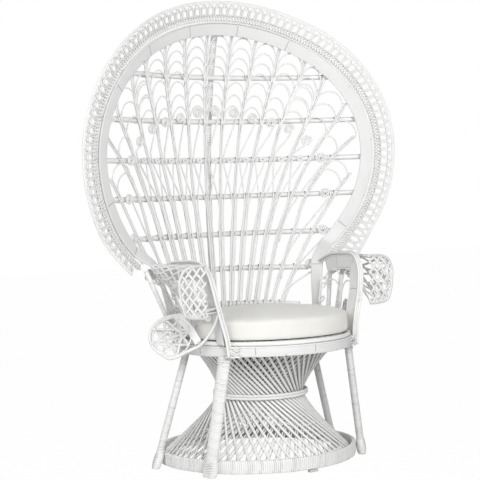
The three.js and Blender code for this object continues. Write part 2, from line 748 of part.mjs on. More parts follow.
// Arches, coils and stems that grow from rib `index` towards the next rib out
function columnPieces(side, index) {
  const { low, coil: [coilShare, coilRise], small } = columnShares[index + 1];
  const pieces = [];
  const reachOut = (z) => {
    if (index + 1 >= ribTables.length || z >= ribTables[index + 1].at(-1)[0]) {
      return bandReach(z) - bandWidth / 2 - legClear;
    }
    const slope = (ribAt(index + 1, z + slopeStep) - ribAt(index + 1, z)) / slopeStep;
    return ribAt(index + 1, z) - legClear * Math.hypot(1, slope);
  };
  const addArch = (wanted) => {
    const middle = (ribAt(index, wanted) + reachOut(wanted)) / 2;
    const crown = Math.min(wanted, ribTopHeight(middle) - bandWidth / 2);
    const spring = crown - archRise;
    pieces.push(arch(side, ribAt(index, spring), reachOut(spring), crown, archRise));
  };
  if (index < topColumnCount) {
    const middle = (ribAt(index, barHeights[0]) + ribAt(index + 1, barHeights[0])) / 2;
    const crown = ribTopHeight(middle) - bandWidth / 2;
    for (let i = 0; i < topArchCount; i += 1) {
      addArch(crown - i * topArchStep);
    }
  }
  low.forEach((share) => addArch(risen(share)));
  const coilX = coilShare * halfWidth;
  const coilZ = risen(coilRise);
  const rootBar = index < lastStemColumnIndex ? coilBarIndex : index - coilBarIndex;
  const rootHeight = barHeights[rootBar] - coilRadius;
  pieces.push(coil(side, coilX, coilZ, coilRadius));
  pieces.push(cane(side, [coilX, coilZ], [ribAt(index, rootHeight), rootHeight]));
  if (small) {
    const smallZ = barHeights[coilBarIndex];
    const smallX = (ribAt(index, smallZ) + ribAt(index + 1, smallZ)) / 2;
    const tailZ = barHeights[tailBarIndex];
    pieces.push(coil(side, smallX, smallZ, smallCoilRadius));
    pieces.push(cane(side, [smallX, smallZ], [ribAt(index, tailZ), tailZ]));
  }
  return pieces;
}

// Outside the last rib two more coils hang on canes of their own
const outerCoilShares = [[0.612, 0.292], [0.52, 0.188]];
const outerCoilDrop = 52;
function outerCoil(side, index, [reachShare, riseShare]) {
  const x = reachShare * halfWidth;
  const z = risen(riseShare);
  const rootHeight = z - outerCoilDrop;
  return [coil(side, x, z, coilRadius), cane(side, [x, z], [ribAt(index, rootHeight), rootHeight])];
}

for (const [word, side] of [['left', -1], ['right', 1]]) {
  ribTables.forEach((table, index) => {
    const path = table.map(([z, x]) => leafPoint(side, x, z));
    const rib = sweep(path, acrossBack, ribSection);
    const isLast = index === ribTables.length - 1;
    const pieces = isLast
      ? outerCoilShares.flatMap((place) => outerCoil(side, index, place))
      : columnPieces(side, index);
    addPiece(`back_leaf_${word}_${index + 1}`, unite([rib, ...pieces]), caneWhite);
  });
}

// The centre column has no rib: two long canes carry its arches
const centreReach = (z) => ribAt(0, z) - legClear;
const centreTop = ribTopHeight(0) - bandWidth / 2;
const centrePieces = [-1, 1].map((side) => {
  const heights = [...barHeights.slice(0, tailBarIndex + 1).reverse(), centreTop - archRise];
  return sweep(heights.map((z) => leafPoint(side, centreReach(z), z)), acrossBack, archSection);
});
const centreCrowns = Array.from({ length: topArchCount }, (unused, i) => centreTop - i * topArchStep)
  .concat(columnShares[0].low.map(risen));
for (const crown of centreCrowns) {
  const reach = centreReach(crown - archRise);
  centrePieces.push(arch(1, -reach, reach, crown, archRise));
}
const centreCoil = risen(columnShares[0].coil[1]);
centrePieces.push(coil(1, 0, centreCoil, coilRadius), coil(1, 0, barHeights[coilBarIndex], smallCoilRadius));
const coilHeight = barHeights[coilBarIndex];
const tailHeight = barHeights[tailBarIndex];
centrePieces.push(cane(1, [0, centreCoil], [centreReach(coilHeight), coilHeight]));
centrePieces.push(cane(1, [0, coilHeight], [centreReach(tailHeight), tailHeight + archWidth]));
addPiece('back_leaf_centre', unite(centrePieces), caneWhite);

// Posts under the ends of the hoop, two a side, tied together near their tops. They stand beside the seat
// band, under the side bowl's rear half, and lean out to the end of the hoop.
const hoopPosts = [
  { footDegrees: 94.5, headDrop: 34, headSide: 72, headForward: 51 },
  { footDegrees: 100.5, headDrop: 64, headSide: 24, headForward: 42 },
];
const hoopPostSides = 6;
const hoopPostLine = (side, { footDegrees, headDrop, headSide, headForward }) => {
  const base = around(side * footDegrees, seatRadius + tieGap + hoopPostRadius, seatBandBottom, seatForward);
  const top = armHeight - headDrop;
  return [base, vec(side * (bandReach(top) + headSide), between(bandDepthTable, top) - headForward, top)];
};
const tieShare = 0.1;
for (const [word, side] of [['left', -1], ['right', 1]]) {
  const lines = hoopPosts.map((post) => hoopPostLine(side, post));
  const section = roundOutline(hoopPostRadius, hoopPostSides);
  const posts = lines.map((line) => sweep(line, () => vec(0, 1, 0), section));
  const tiePath = lines.map(([base, head]) => head.clone().lerp(base, tieShare));
  const tie = sweep(tiePath, () => vec(0, 1, 0), roundOutline(archWidth, hoopPostSides));
  addPiece(`hoop_posts_${word}`, unite([...posts, tie]), bandWhite);
}

// Arms

// The arm rod rises beside the seat band, leans out and curls back into the top rail, which ends just in
// front of the wide band. Its route is given as shares of the way from its foot to its end, and rise as a
// share of the way up to the arm top.
const railFootDegrees = 54.7;
const railFoot = around(
  railFootDegrees,
  seatRadius + tieGap + armRodRadius,
  seatBandBottom + tieGap,
  seatForward,
);
const railSide = 20;
const railForward = 20;
const armRouteShares = [
  { side: 0, deep: 0, rise: 0 },
  { side: 0.04, deep: 0.014, rise: 0.164 },
  { side: 0.18, deep: 0.033, rise: 0.37 },
  { side: 0.34, deep: 0.04, rise: 0.58 },
  { side: 0.47, deep: 0.073, rise: 0.81 },
  { side: 0.53, deep: 0.155, rise: 0.95 },
  { side: 0.585, deep: 0.27, rise: 1 },
  { side: 0.68, deep: 0.57, rise: 1 },
  { side: 0.81, deep: 0.81, rise: 0.97 },
  { side: 1, deep: 1, rise: 0.895 },
];
const armTop = armHeight - armRodRadius;
const armRise = (rise) => THREE.MathUtils.lerp(railFoot.z, armTop, rise);
const railEndHeight = armRise(armRouteShares.at(-1).rise);
const railEndReach = bandReach(railEndHeight) + railSide;
const railEndDepth = between(bandDepthTable, railEndHeight) - railForward;
const armPoint = ({ side, deep, rise }) => vec(
  THREE.MathUtils.lerp(railFoot.x, railEndReach, side),
  THREE.MathUtils.lerp(railFoot.y, railEndDepth, deep),
  armRise(rise),
);
const armSteps = 16;
const armPath = smooth(armRouteShares.map(armPoint), armSteps);
const armRodSides = 6;

// The panel lies inside the rod's loop: a wrapped band, then two columns of arches and a middle rib
const panelInward = (i) => {
  const before = armPath[Math.max(i - 1, 0)];
  const after = armPath[Math.min(i + 1, armSteps)];
  return after.clone().sub(before).cross(vec(1, 0, 0)).normalize();
};
const panelInset = armRodRadius + leafGap + armBandWidth / 2;
const panelLine = armPath.map((point, i) => point.clone().addScaledVector(panelInward(i), panelInset));
const panelSkip = 3;
const panelPath = panelLine.slice(panelSkip, -1);
const panelTop = armTop - panelInset - armBandWidth / 2;
const panelFootDrop = 10;
const panelBottom = panelPath[0].z - panelFootDrop;
const panelFront = panelPath[0].y + armBandWidth / 4;
const panelRear = panelPath.at(-1).y;
const panelX = (y) => between(panelPath.map((point) => [point.y, point.x]).sort((a, b) => a[0] - b[0]), y);
const panelSeatRadius = seatRadius + tieGap;
const panelPoint = (deep, z) => {
  const y = THREE.MathUtils.lerp(panelFront, panelRear, deep);
  const seatReach = Math.sqrt(panelSeatRadius ** 2 - (y + seatForward) ** 2);
  const rise = THREE.MathUtils.clamp((z - panelBottom) / (panelTop - panelBottom), 0, 1);
  return vec(THREE.MathUtils.lerp(seatReach, panelX(y), rise), y, z);
};
const panelArchStep = 36;
const panelArchCount = 2;
const panelCrowns = Array.from({ length: panelArchCount }, (unused, i) => (
  panelTop - i * panelArchStep + archWidth
));
const panelColumnShares = [[0.06, 0.48], [0.48, 0.9]];
const panelCane = (points) => sweep(points, () => vec(1, 0, 0), archSection);
const panelArch = ([from, to], crown) => panelCane(evenly(0, Math.PI, archSteps).map((angle) => panelPoint(
  (from + to) / 2 - ((to - from) / 2) * Math.cos(angle),
  crown - archRise + archRise * Math.sin(angle),
)));
const panelRib = (deep, top) => panelCane([panelPoint(deep, panelBottom), panelPoint(deep, top)]);

// The woven roll outside the front post is a horn: half hoops that shrink from its open front to its tip
// beside the top rail, and crossed canes
const rollTipForward = 26;
const rollFront = railFoot.y + armRodWidth / 2;
const rollRear = railEndDepth - rollTipForward;
const rollTaperShare = 0.8;
const rollFlareShare = 0.7;
const rollStart = 6;
const rollInnerFront = armPoint(armRouteShares[rollStart]).x + armRodRadius + leafGap + armRodWidth;
const rollInnerRear = railEndReach + armRodWidth;
const rollProfileShares = [
  [0, 0], [0.5, 0.01], [0.84, 0.1], [1, 0.3], [0.985, 0.5],
  [0.92, 0.74], [0.74, 0.95], [0.3, 1], [0, 1],
];
const rollSides = rollProfileShares.length - 1;
const rollPoint = (turn, along) => {
  const place = Math.min(Math.floor(turn * rollSides), rollSides - 1);
  const [out, down] = rollProfileShares[place].map((share, i) => (
    THREE.MathUtils.lerp(share, rollProfileShares[place + 1][i], turn * rollSides - place)
  ));
  const size = 1 - rollTaperShare * along ** rollFlareShare;
  return vec(
    THREE.MathUtils.lerp(rollInnerFront, rollInnerRear, along) + armRollWidth * size * out,
    THREE.MathUtils.lerp(rollFront, rollRear, along),
    armTop - armRodWidth - armRollHeight * size * down,
  );
};
const rollAxis = (along) => rollPoint(0, along).lerp(rollPoint(1, along), 1 / 2);
const rollCane = (points, alongs, outline) => sweep(
  points,
  (point, i) => point.clone().sub(rollAxis(alongs[i])),
  outline,
);
const rollHoopSection = flatOutline(armRodWidth, armRodWidth);
const rollHoopShares = [0, 0.5, 1];
const rollCrossingCount = 3;
const rollCrossSteps = 3;
const rollPieces = () => [
  ...rollHoopShares.map((along) => {
    const turns = evenly(0, 1, rollSides);
    return rollCane(turns.map((turn) => rollPoint(turn, along)), turns.map(() => along), rollHoopSection);
  }),
  ...Array.from({ length: 2 * rollCrossingCount }, (unused, i) => {
    const start = Math.floor(i / 2) / rollCrossingCount;
    const turns = [start, start + 1 / rollCrossingCount];
    const [from, to] = i % 2 ? turns : turns.reverse();
    const alongs = evenly(0, 1, rollCrossSteps);
    const path = alongs.map((along) => rollPoint(THREE.MathUtils.lerp(from, to, along), along));
    return rollCane(path, alongs, archSection);
  }),
];

// The mouth: an oval ring that faces outwards beside the seat, with a shallow woven bowl inside it
const mouthDegrees = 62;
const mouthTiltDegrees = -10;
const mouthOut = around(mouthDegrees, 1, 0);
const mouthAlong = around(mouthDegrees + 90, 1, 0);
const mouthUp = vec(0, 0, 1).applyAxisAngle(mouthAlong, radians(mouthTiltDegrees));
const mouthFacing = mouthAlong.clone().cross(mouthUp).normalize();
const mouthSteps = 14;
const mouthPoint = (angle, share) => vec(mouthSide, -mouthForward, mouthRise)
  .addScaledVector(mouthAlong, (mouthLength / 2) * share * Math.cos(angle))
  .addScaledVector(mouthUp, (mouthHeight / 2) * share * Math.sin(angle))
  .addScaledVector(mouthFacing, -Math.sign(mouthFacing.dot(mouthOut)) * mouthDepth * (1 - share * share));
const mouthRing = (share, radius, sides) => sweep(
  evenly(0, 2 * Math.PI, mouthSteps).slice(0, -1).map((angle) => mouthPoint(angle, share)),
  () => mouthFacing,
  roundOutline(radius, sides),
  true,
);
const mouthSpokeCount = 3;
const mouthSpokeShares = [-1, -0.5, 0.5, 1];
const mouthRodSides = 5;
const bowlRingShare = 0.5;
const mouthPieces = () => [
  mouthRing(1, mouthRodRadius, mouthRodSides),
  mouthRing(bowlRingShare, archWidth / 2, archSides),
  ...Array.from({ length: mouthSpokeCount }, (unused, i) => {
    const angle = (Math.PI * i) / mouthSpokeCount;
    return sweep(mouthSpokeShares.map((share) => mouthPoint(angle, share)), () => mouthFacing, archSection);
  }),
];

// Both arms are the same, mirrored
const mirror = (geometry) => {
  const flipped = geometry.clone().scale(-1, 1, 1);
  const index = Array.from(flipped.index.array);
  for (let i = 0; i < index.length; i += 3) {
    [index[i], index[i + 1]] = [index[i + 1], index[i]];
  }
  flipped.setIndex(index);
  return flipped;
};
const armPieces = {
  arm_rod: sweep(armPath, () => vec(1, 0, 0), roundOutline(armRodRadius, armRodSides)),
  arm_panel: unite([
    sweep(panelPath, () => vec(1, 0, 0), flatOutline(armBandThickness, armBandWidth)),
    ...panelColumnShares.flatMap((column) => (
      panelCrowns.map((crown) => panelArch(column, crown))
    )),
    panelRib(panelColumnShares[0][1], panelTop),
  ]),
  arm_roll: unite(rollPieces()),
  arm_mouth: unite(mouthPieces()),
};
for (const [name, geometry] of Object.entries(armPieces)) {
  const finish = name === 'arm_panel' ? bandWhite : caneWhite;
  addPiece(`${name}_left`, mirror(geometry), finish);
  addPiece(`${name}_right`, geometry, finish);
}

export default chair;
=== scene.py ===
# %% [markdown]
# A white cane peacock chair, made as a lesson in surfaces worked out with numpy. The solids of the chair
# are loaded first and stay where they are. Each one is then dressed with a finer piece in the same place,
# which keeps the finished chair true to the solids.

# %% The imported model
import math

import bpy
import numpy as np
from mathutils import Matrix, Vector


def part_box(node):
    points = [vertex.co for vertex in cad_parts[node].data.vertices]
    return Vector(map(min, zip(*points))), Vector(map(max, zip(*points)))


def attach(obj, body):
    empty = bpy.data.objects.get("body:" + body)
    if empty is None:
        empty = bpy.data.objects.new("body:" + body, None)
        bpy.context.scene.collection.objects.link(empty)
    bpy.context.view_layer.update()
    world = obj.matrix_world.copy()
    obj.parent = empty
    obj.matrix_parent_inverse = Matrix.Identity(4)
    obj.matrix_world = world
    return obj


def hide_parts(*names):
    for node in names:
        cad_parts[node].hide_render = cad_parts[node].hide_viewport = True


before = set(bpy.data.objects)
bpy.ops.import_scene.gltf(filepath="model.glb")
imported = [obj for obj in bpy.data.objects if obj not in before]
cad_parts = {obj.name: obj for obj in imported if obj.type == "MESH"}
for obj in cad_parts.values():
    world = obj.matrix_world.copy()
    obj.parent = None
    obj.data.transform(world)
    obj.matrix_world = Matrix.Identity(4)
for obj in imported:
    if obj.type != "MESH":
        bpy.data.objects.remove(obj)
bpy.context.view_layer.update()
print("solids", len(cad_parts))


# %% [markdown]
# The camera comes first. It could be placed by eye, but a fitted place, turn and lens let single canes be
# compared. It stands to the left of the chair, a little above its middle, and is turned slightly about its
# own line of sight. The lens is long, so the chair shows little perspective.

# %% Camera
camera_place = np.array([-2.372, -3.6945, 0.840])
camera_heading = math.radians(-32.21)
camera_dip = math.radians(-1.66)
camera_roll = math.radians(-2.0)
sensor_width = 36.0
photo_width_pixels = 480
focal_pixels = 1351

ahead = np.array([
    -math.sin(camera_heading) * math.cos(camera_dip),
    math.cos(camera_heading) * math.cos(camera_dip),
    math.sin(camera_dip),
])
level_right = np.cross(ahead, [0, 0, 1])
level_right /= np.linalg.norm(level_right)
level_up = np.cross(level_right, ahead)
right = math.cos(camera_roll) * level_right + math.sin(camera_roll) * level_up
up = np.cross(right, ahead)
turn = Matrix(np.column_stack([right, up, -ahead]).tolist()).to_4x4()
camera_data = bpy.data.cameras.new("studio_camera")
camera_data.sensor_fit = "HORIZONTAL"
camera_data.sensor_width = sensor_width
camera_data.lens = sensor_width * focal_pixels / photo_width_pixels
camera = bpy.data.objects.new("studio_camera", camera_data)
camera.matrix_world = Matrix.Translation(camera_place.tolist()) @ turn
bpy.context.scene.collection.objects.link(camera)
bpy.context.scene.camera = camera
print("lens in millimetres", round(camera_data.lens, 1))


# %% [markdown]
# Places on the chair are read from the solids where a box gives them, so the finer pieces follow them. The
# pedestal's axis and the seat's axis lie a little apart, because the seat overhangs the pedestal at the
# front. Lengths are in metres.

# %% Driving sizes
base_low, base_high = (np.array(corner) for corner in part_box("base_hoop"))
seat_low, seat_high = (np.array(corner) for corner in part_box("seat_band"))
pedestal_y = (base_low[1] + base_high[1]) / 2
seat_y = (seat_low[1] + seat_high[1]) / 2
base_radius = (base_high[0] - base_low[0]) / 2
seat_radius = (seat_high[0] - seat_low[0]) / 2
seat_top = 0.4124
chair_height = 1.5
back_width = 1.196
rng = np.random.default_rng(11)
print("base and seat radius", round(base_radius, 3), round(seat_radius, 3), "seat axis", round(seat_y, 3))


# %% [markdown]
# Almost every piece is a cane or a band: one outline carried along a path. A bevelled curve could do that,
# but its outline can't swell from wrap to wrap. So the whole sweep is a single array, with a path, a place
# along it and a corner of the outline as its first three directions.

# %% Sweeps
steps_between_points = 40
steps_per_wrap = 6


def unit(vectors):
    """Vectors divided by their lengths."""
    return vectors / np.linalg.norm(vectors, axis=-1, keepdims=True)


def circle(radius, sides=8):
    """Corners of a round section."""
    angle = 2 * math.pi * np.arange(sides) / sides
    return radius * np.column_stack([np.cos(angle), np.sin(angle)])


def rounded(thickness, width, sides=16, squareness=0.45):
    """A rectangle with round corners: cosine and sine raised to a small power, keeping their signs."""
    angle = 2 * math.pi * (np.arange(sides) + 0.5) / sides
    wave = np.column_stack([np.cos(angle), np.sin(angle)])
    return np.sign(wave) * np.abs(wave) ** squareness * [thickness / 2, width / 2]


def smooth_line(points, count):
    """A curve through given points, then cut into even steps of its length. Between two points it is a
    cubic, and its slope at each point is half the step between that point's neighbours."""
    points = np.asarray(points, float)
    padded = np.vstack([2 * points[0] - points[1], points, 2 * points[-1] - points[-2]])
    place = np.linspace(0, len(points) - 1, steps_between_points * len(points))
    first = np.minimum(place.astype(int), len(points) - 2)
    t = (place - first)[:, None]
    a, b, c, d = (padded[first + i] for i in range(4))
    square = 2 * a - 5 * b + 4 * c - d
    cube = 3 * b - a - 3 * c + d
    return even_line(0.5 * (2 * b + (c - a) * t + square * t ** 2 + cube * t ** 3), count)


def lengths_along(path):
    """Distance from the start of a path to each of its points."""
    steps = np.linalg.norm(np.diff(path, axis=-2), axis=-1)
    zero = np.zeros(steps.shape[:-1] + (1,))
    return np.concatenate([zero, np.cumsum(steps, axis=-1)], axis=-1)


def even_line(path, count):
    """The same path at `count` places an even distance apart."""
    distance = lengths_along(path)
    wanted = np.linspace(0, distance[-1], count)
    return np.column_stack([np.interp(wanted, distance, path[:, axis]) for axis in range(path.shape[1])])


def sweep(paths, across, outline, closed=False):
    """Carries an outline along paths. Its first axis lies along `across`, its second square to that."""
    paths = np.asarray(paths, float)
    paths = paths[None] if paths.ndim == 2 else paths
    across = np.broadcast_to(np.asarray(across, float), paths.shape)
    if closed:
        steps = np.roll(paths, -1, 1) - np.roll(paths, 1, 1)
        distance = lengths_along(np.concatenate([paths, paths[:, :1]], axis=1))
    else:
        steps = np.gradient(paths, axis=1)
        distance = lengths_along(paths)
    along = unit(steps)
    first = unit(across - (across * along).sum(-1, keepdims=True) * along)
    second = np.cross(along, first)
    outline = np.asarray(outline, float)
    rings = paths[:, :, None] + outline[..., :1] * first[:, :, None] + outline[..., 1:] * second[:, :, None]
    count, steps_on, sides = rings.shape[:3]
    index = np.arange(count * steps_on * sides).reshape(count, steps_on, sides)
    here = index if closed else index[:, :-1]
    next_on = np.roll(index, -1, 1) if closed else index[:, 1:]
    quads = np.stack([here, np.roll(here, -1, 2), np.roll(next_on, -1, 2), next_on], -1).reshape(-1, 4)
    shape = here.shape
    u = np.broadcast_to(np.arange(sides) / sides, shape)
    v = np.broadcast_to(distance[:, :-1, None], shape)
    w = np.broadcast_to(distance[:, 1:, None], shape)
    u_next = u + 1 / sides
    quad_uv = np.stack([np.stack(pair, -1) for pair in ((u, v), (u_next, v), (u_next, w), (u, w))], -2)
    made = {"points": rings.reshape(-1, 3), "quads": quads, "quad_uv": quad_uv.reshape(-1, 4, 2),
            "tris": np.zeros((0, 3), int), "tri_uv": np.zeros((0, 3, 2))}
    if closed:
        return made
    total = len(made["points"])
    ends = np.concatenate([paths[:, 0], paths[:, -1]])
    start = np.broadcast_to((total + np.arange(count))[:, None], (count, sides))
    finish = start + count
    front, rear = index[:, 0], index[:, -1]
    tris = np.concatenate([
        np.stack([start, np.roll(front, -1, 1), front], -1).reshape(-1, 3),
        np.stack([finish, rear, np.roll(rear, -1, 1)], -1).reshape(-1, 3),
    ])
    ends_uv = np.concatenate([np.repeat(distance[:, 0], sides), np.repeat(distance[:, -1], sides)])
    made["points"] = np.concatenate([made["points"], ends])
    made["tris"] = tris
    made["tri_uv"] = np.repeat(np.column_stack([np.full(len(tris), 0.5), ends_uv])[:, None], 3, axis=1)
    return made


def wound(path, across, outline, pitch, depth, closed=False, looseness=0.5):
    """A piece wrapped from end to end with cane. The gap between wraps is a helix: the outline swells with
    the root of a sine of turns along less turns round, each wrap by its own chance. The map counts wraps."""
    ring_path = np.vstack([path, path[:1]]) if closed else path
    wrap_count = int(round(lengths_along(ring_path)[-1] / pitch))
    path = even_line(ring_path, wrap_count * steps_per_wrap + 1)
    path = path[:-1] if closed else path
    turns = np.arange(len(path))[:, None] / steps_per_wrap - np.arange(len(outline))[None] / len(outline)
    swell = np.sqrt(np.abs(np.sin(math.pi * turns)) + 1e-9)
    slack = rng.uniform(-looseness, looseness, wrap_count + 2)[np.floor(turns).astype(int)]
    grown = outline + (depth * (swell * (1 + slack) - 1))[..., None] * unit(outline)
    made = sweep(path, across(path) if callable(across) else across, grown, closed)
    wrap_length = lengths_along(ring_path)[-1] / wrap_count
    for places in (made["quad_uv"], made["tri_uv"]):
        places[..., 1] /= wrap_length
    return made


def mirrored(shape):
    """The same shape on the other side of the chair, with its faces turned to point outwards again."""
    return {
        "points": shape["points"] * [-1, 1, 1],
        "quads": shape["quads"][:, ::-1], "quad_uv": shape["quad_uv"][:, ::-1],
        "tris": shape["tris"][:, ::-1], "tri_uv": shape["tri_uv"][:, ::-1],
    }


def piece(name, shapes, finish, nodes=(), body="chair", slot="white_cane"):
    """Joins shapes into one object that rides on a body and stands for solids of the model."""
    starts = np.cumsum([0] + [len(shape["points"]) for shape in shapes])
    points = np.concatenate([shape["points"] for shape in shapes])
    quads = np.concatenate([shape["quads"] + start for shape, start in zip(shapes, starts)])
    tris = np.concatenate([shape["tris"] + start for shape, start in zip(shapes, starts)])
    places = np.concatenate([shape["quad_uv"].reshape(-1, 2) for shape in shapes]
                            + [shape["tri_uv"].reshape(-1, 2) for shape in shapes])
    mesh = bpy.data.meshes.new(name)
    mesh.vertices.add(len(points))
    mesh.vertices.foreach_set("co", points.ravel())
    mesh.loops.add(quads.size + tris.size)
    mesh.loops.foreach_set("vertex_index", np.concatenate([quads.ravel(), tris.ravel()]))
    mesh.polygons.add(len(quads) + len(tris))
    mesh.polygons.foreach_set("loop_start", np.concatenate([
        4 * np.arange(len(quads)), quads.size + 3 * np.arange(len(tris))]))
    mesh.update(calc_edges=True)
    mesh.validate()
    mesh.uv_layers.new(name="surface").data.foreach_set("uv", places.ravel())
    mesh.shade_smooth()
    mesh.materials.append(finish)
    made = bpy.data.objects.new(name, mesh)
    bpy.context.scene.collection.objects.link(made)
    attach(made, body)
    if nodes:
        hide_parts(*nodes)
    print(name, len(quads) * 2 + len(tris), "triangles")
    return made


# %% [markdown]
# Finishes are written as sums on sockets. Adding every node by hand would hide the sum behind many lines.
# The class below wraps a socket, so that `1 - mask * 0.3` adds the Math nodes that it needs, and one
# method adds every other node.

# %% Shader sums
class Value:
    """A socket of a material that takes Python's signs."""

    def __init__(self, finish, socket):
        self.finish = finish
        self.socket = socket

    def math(self, operation, *others):
        return self.finish.math(operation, self, *others)

    def __add__(self, other):
        return self.math("ADD", other)

    def __sub__(self, other):
        return self.math("SUBTRACT", other)

    def __rsub__(self, other):
        return self.finish.math("SUBTRACT", other, self)

    def __mul__(self, other):
        return self.math("MULTIPLY", other)

    def __truediv__(self, other):
        return self.math("DIVIDE", other)

    def __pow__(self, other):
        return self.math("POWER", other)

    def __abs__(self):
        return self.math("ABSOLUTE")

    __radd__ = __add__
    __rmul__ = __mul__

    def whole(self):
        return self.math("FLOOR")

    def part(self):
        """What is left over the whole number."""
        return self.math("FRACT")

    def within(self, low, high):
        """Goes from 0 at `low` to 1 at `high`, and stays there."""
        return self.finish.node("ShaderNodeMapRange", {"clamp": True}, {0: self, 1: low, 2: high})


class Finish:
    """A material with one Principled shader and methods that add nodes to it."""

    def __init__(self, name):
        self.material = bpy.data.materials.new(name)
        self.material.use_nodes = True
        self.tree = self.material.node_tree
        self.shader = self.tree.nodes["Principled BSDF"]

    def feed(self, socket, value):
        if isinstance(value, Value):
            self.tree.links.new(value.socket, socket)
        elif hasattr(socket.default_value, "__len__") and len(value) == 3 and len(socket.default_value) == 4:
            socket.default_value = (*value, 1)
        else:
            socket.default_value = value

    def node(self, kind, settings=None, sockets=None, out=0):
        node = self.tree.nodes.new(kind)
        for key, value in (settings or {}).items():
            setattr(node, key, value)
        for key, value in (sockets or {}).items():
            self.feed(node.inputs[key], value)
        return Value(self, node.outputs[out])

    def math(self, operation, *values):
        return self.node("ShaderNodeMath", {"operation": operation}, dict(enumerate(values)))

    def mix(self, share, low, high):
        """A colour between two colours."""
        return self.node("ShaderNodeMix", {"data_type": "RGBA"}, {0: share, 6: low, 7: high}, out=2)

    def noise(self, place, scale, detail=3.0, roughness=0.55):
        settings = {"Vector": place, "Scale": scale, "Detail": detail, "Roughness": roughness}
        return self.node("ShaderNodeTexNoise", None, settings)

    def place(self):
        return self.node("ShaderNodeTexCoord", None, None, out="Object")

    def map(self):
        """The piece's own map: turns round it, and metres or wraps along it."""
        return self.node("ShaderNodeUVMap", {"uv_map": "surface"})

    def surface(self, around, along):
        """The piece's own map, stretched by two numbers."""
        return self.node("ShaderNodeMapping", None, {"Vector": self.map(), "Scale": (around, along, 1)})

    def parts(self, vector):
        """The three numbers of a vector."""
        return [self.node("ShaderNodeSeparateXYZ", None, {"Vector": vector}, out=axis) for axis in range(3)]

    def bump(self, height, distance, strength=1.0):
        settings = {"Height": height, "Distance": distance, "Strength": strength}
        return self.node("ShaderNodeBump", None, settings)

    def set(self, **values):
        for key, value in values.items():
            self.feed(self.shader.inputs[key.replace("_", " ").title()], value)
        return self.material


# %% [markdown]
# All the cane has one coat of white paint. Round cane still shows fine streaks along its length, a faint
# grey where the paint is thin, and a soft satin gloss. Painted shade greys the two flanks of every round
# cane, the fan's canes most, and darkens the cane inside the pedestal, under the seat. Pictures of cane
# would repeat on so many pieces, so noise stretched along each piece's own map draws the streaks.

# %% Finishes of round cane
paint_white, paint_grey = (0.90, 0.90, 0.89), (0.66, 0.66, 0.65)
# Painted shade: the grey that the flanks of round cane take.
flank_shade_grey = (0.46, 0.46, 0.45)
# Painted shade under the seat: its two tones, and the heights where it starts and where it is full.
under_seat_shade_dark, under_seat_shade_pale = (0.10, 0.09, 0.08), (0.26, 0.235, 0.21)
shade_from_height, shade_full_height = 0.21, 0.29


def round_finish(name, flank_shade_share):
    """Painted round cane; the share says how much painted shade greys the cane's two flanks."""
    finish = Finish(name)
    lines = finish.noise(finish.surface(5.0, 9.0), 1.0, 4.0)
    blotches = finish.noise(finish.place(), 38.0)
    specks = finish.noise(finish.place(), 420.0, 2.0).within(0.66, 0.74)
    thin = lines.within(0.52, 0.75) * 0.3 + blotches.within(0.5, 0.8) * 0.3
    around = finish.parts(finish.map())[0]
    # Painted shade: the cane's two sides, a quarter turn round from its first axis, go grey.
    flank_shade = abs((around * (2 * math.pi)).math("COSINE")).within(0.75, 0.1)
    colour = finish.mix(thin + specks * 0.25, paint_white, paint_grey)
    colour = finish.mix(flank_shade * flank_shade_share, colour, flank_shade_grey)
    relief = finish.bump(lines + blotches * 0.5, 0.0006, 0.6)
    return finish.set(base_color=colour, roughness=0.42 + thin * 0.2, normal=relief)


def shaded_finish():
    """Cane that is white below one height and dark with painted shade above another, the shade under the
    seat.
    """
    finish = Finish("under_seat_shade_cane")
    height = finish.parts(finish.place())[2]
    streaks = finish.noise(finish.surface(4.0, 12.0), 1.0, 4.0)
    # Painted shade: above these heights the cane goes dark, as shade under the seat.
    under_seat_shade = (height + streaks * 0.05).within(shade_from_height, shade_full_height)
    under_seat_shade_tone = finish.mix(streaks, under_seat_shade_dark, under_seat_shade_pale)
    return finish.set(base_color=finish.mix(under_seat_shade, paint_white, under_seat_shade_tone), roughness=0.5 + under_seat_shade * 0.2)


# The two round finishes differ only in how much painted shade greys the flanks.
round_cane = round_finish("painted_round_cane", 0.3)
fan_cane = round_finish("painted_fan_cane", 0.65)
shaded_cane = shaded_finish()
print("finishes", round_cane.name, fan_cane.name, shaded_cane.name)


# %% [markdown]
# Wound cane changes a little from wrap to wrap, and painted shade darkens the gap between two wraps. Wide
# flat cane is greyer and has long grain, with butt seams across parts of its width. The seat's deck is flat
# cane woven over and under, with painted shade along the edges of each strip on top. Gaps and seams fall
# where a map reaches whole numbers, so a wrap's painted shade lies in the groove that the mesh has there.

# %% Finishes of wound and flat cane
# The first and last are painted shade, in wrap gaps and at deck strip edges; seam grey is the seams' own.
wrap_gap_shade_grey, seam_grey, weave_edge_shade_dark = (0.22, 0.22, 0.21), (0.28, 0.28, 0.28), (0.2, 0.19, 0.18)
flat_white, flat_grey = (0.80, 0.80, 0.795), (0.64, 0.64, 0.64)
seam_pitch, lane_count, lane_shift_share = 0.19, 5.0, 0.37
deck_pitch = 0.011


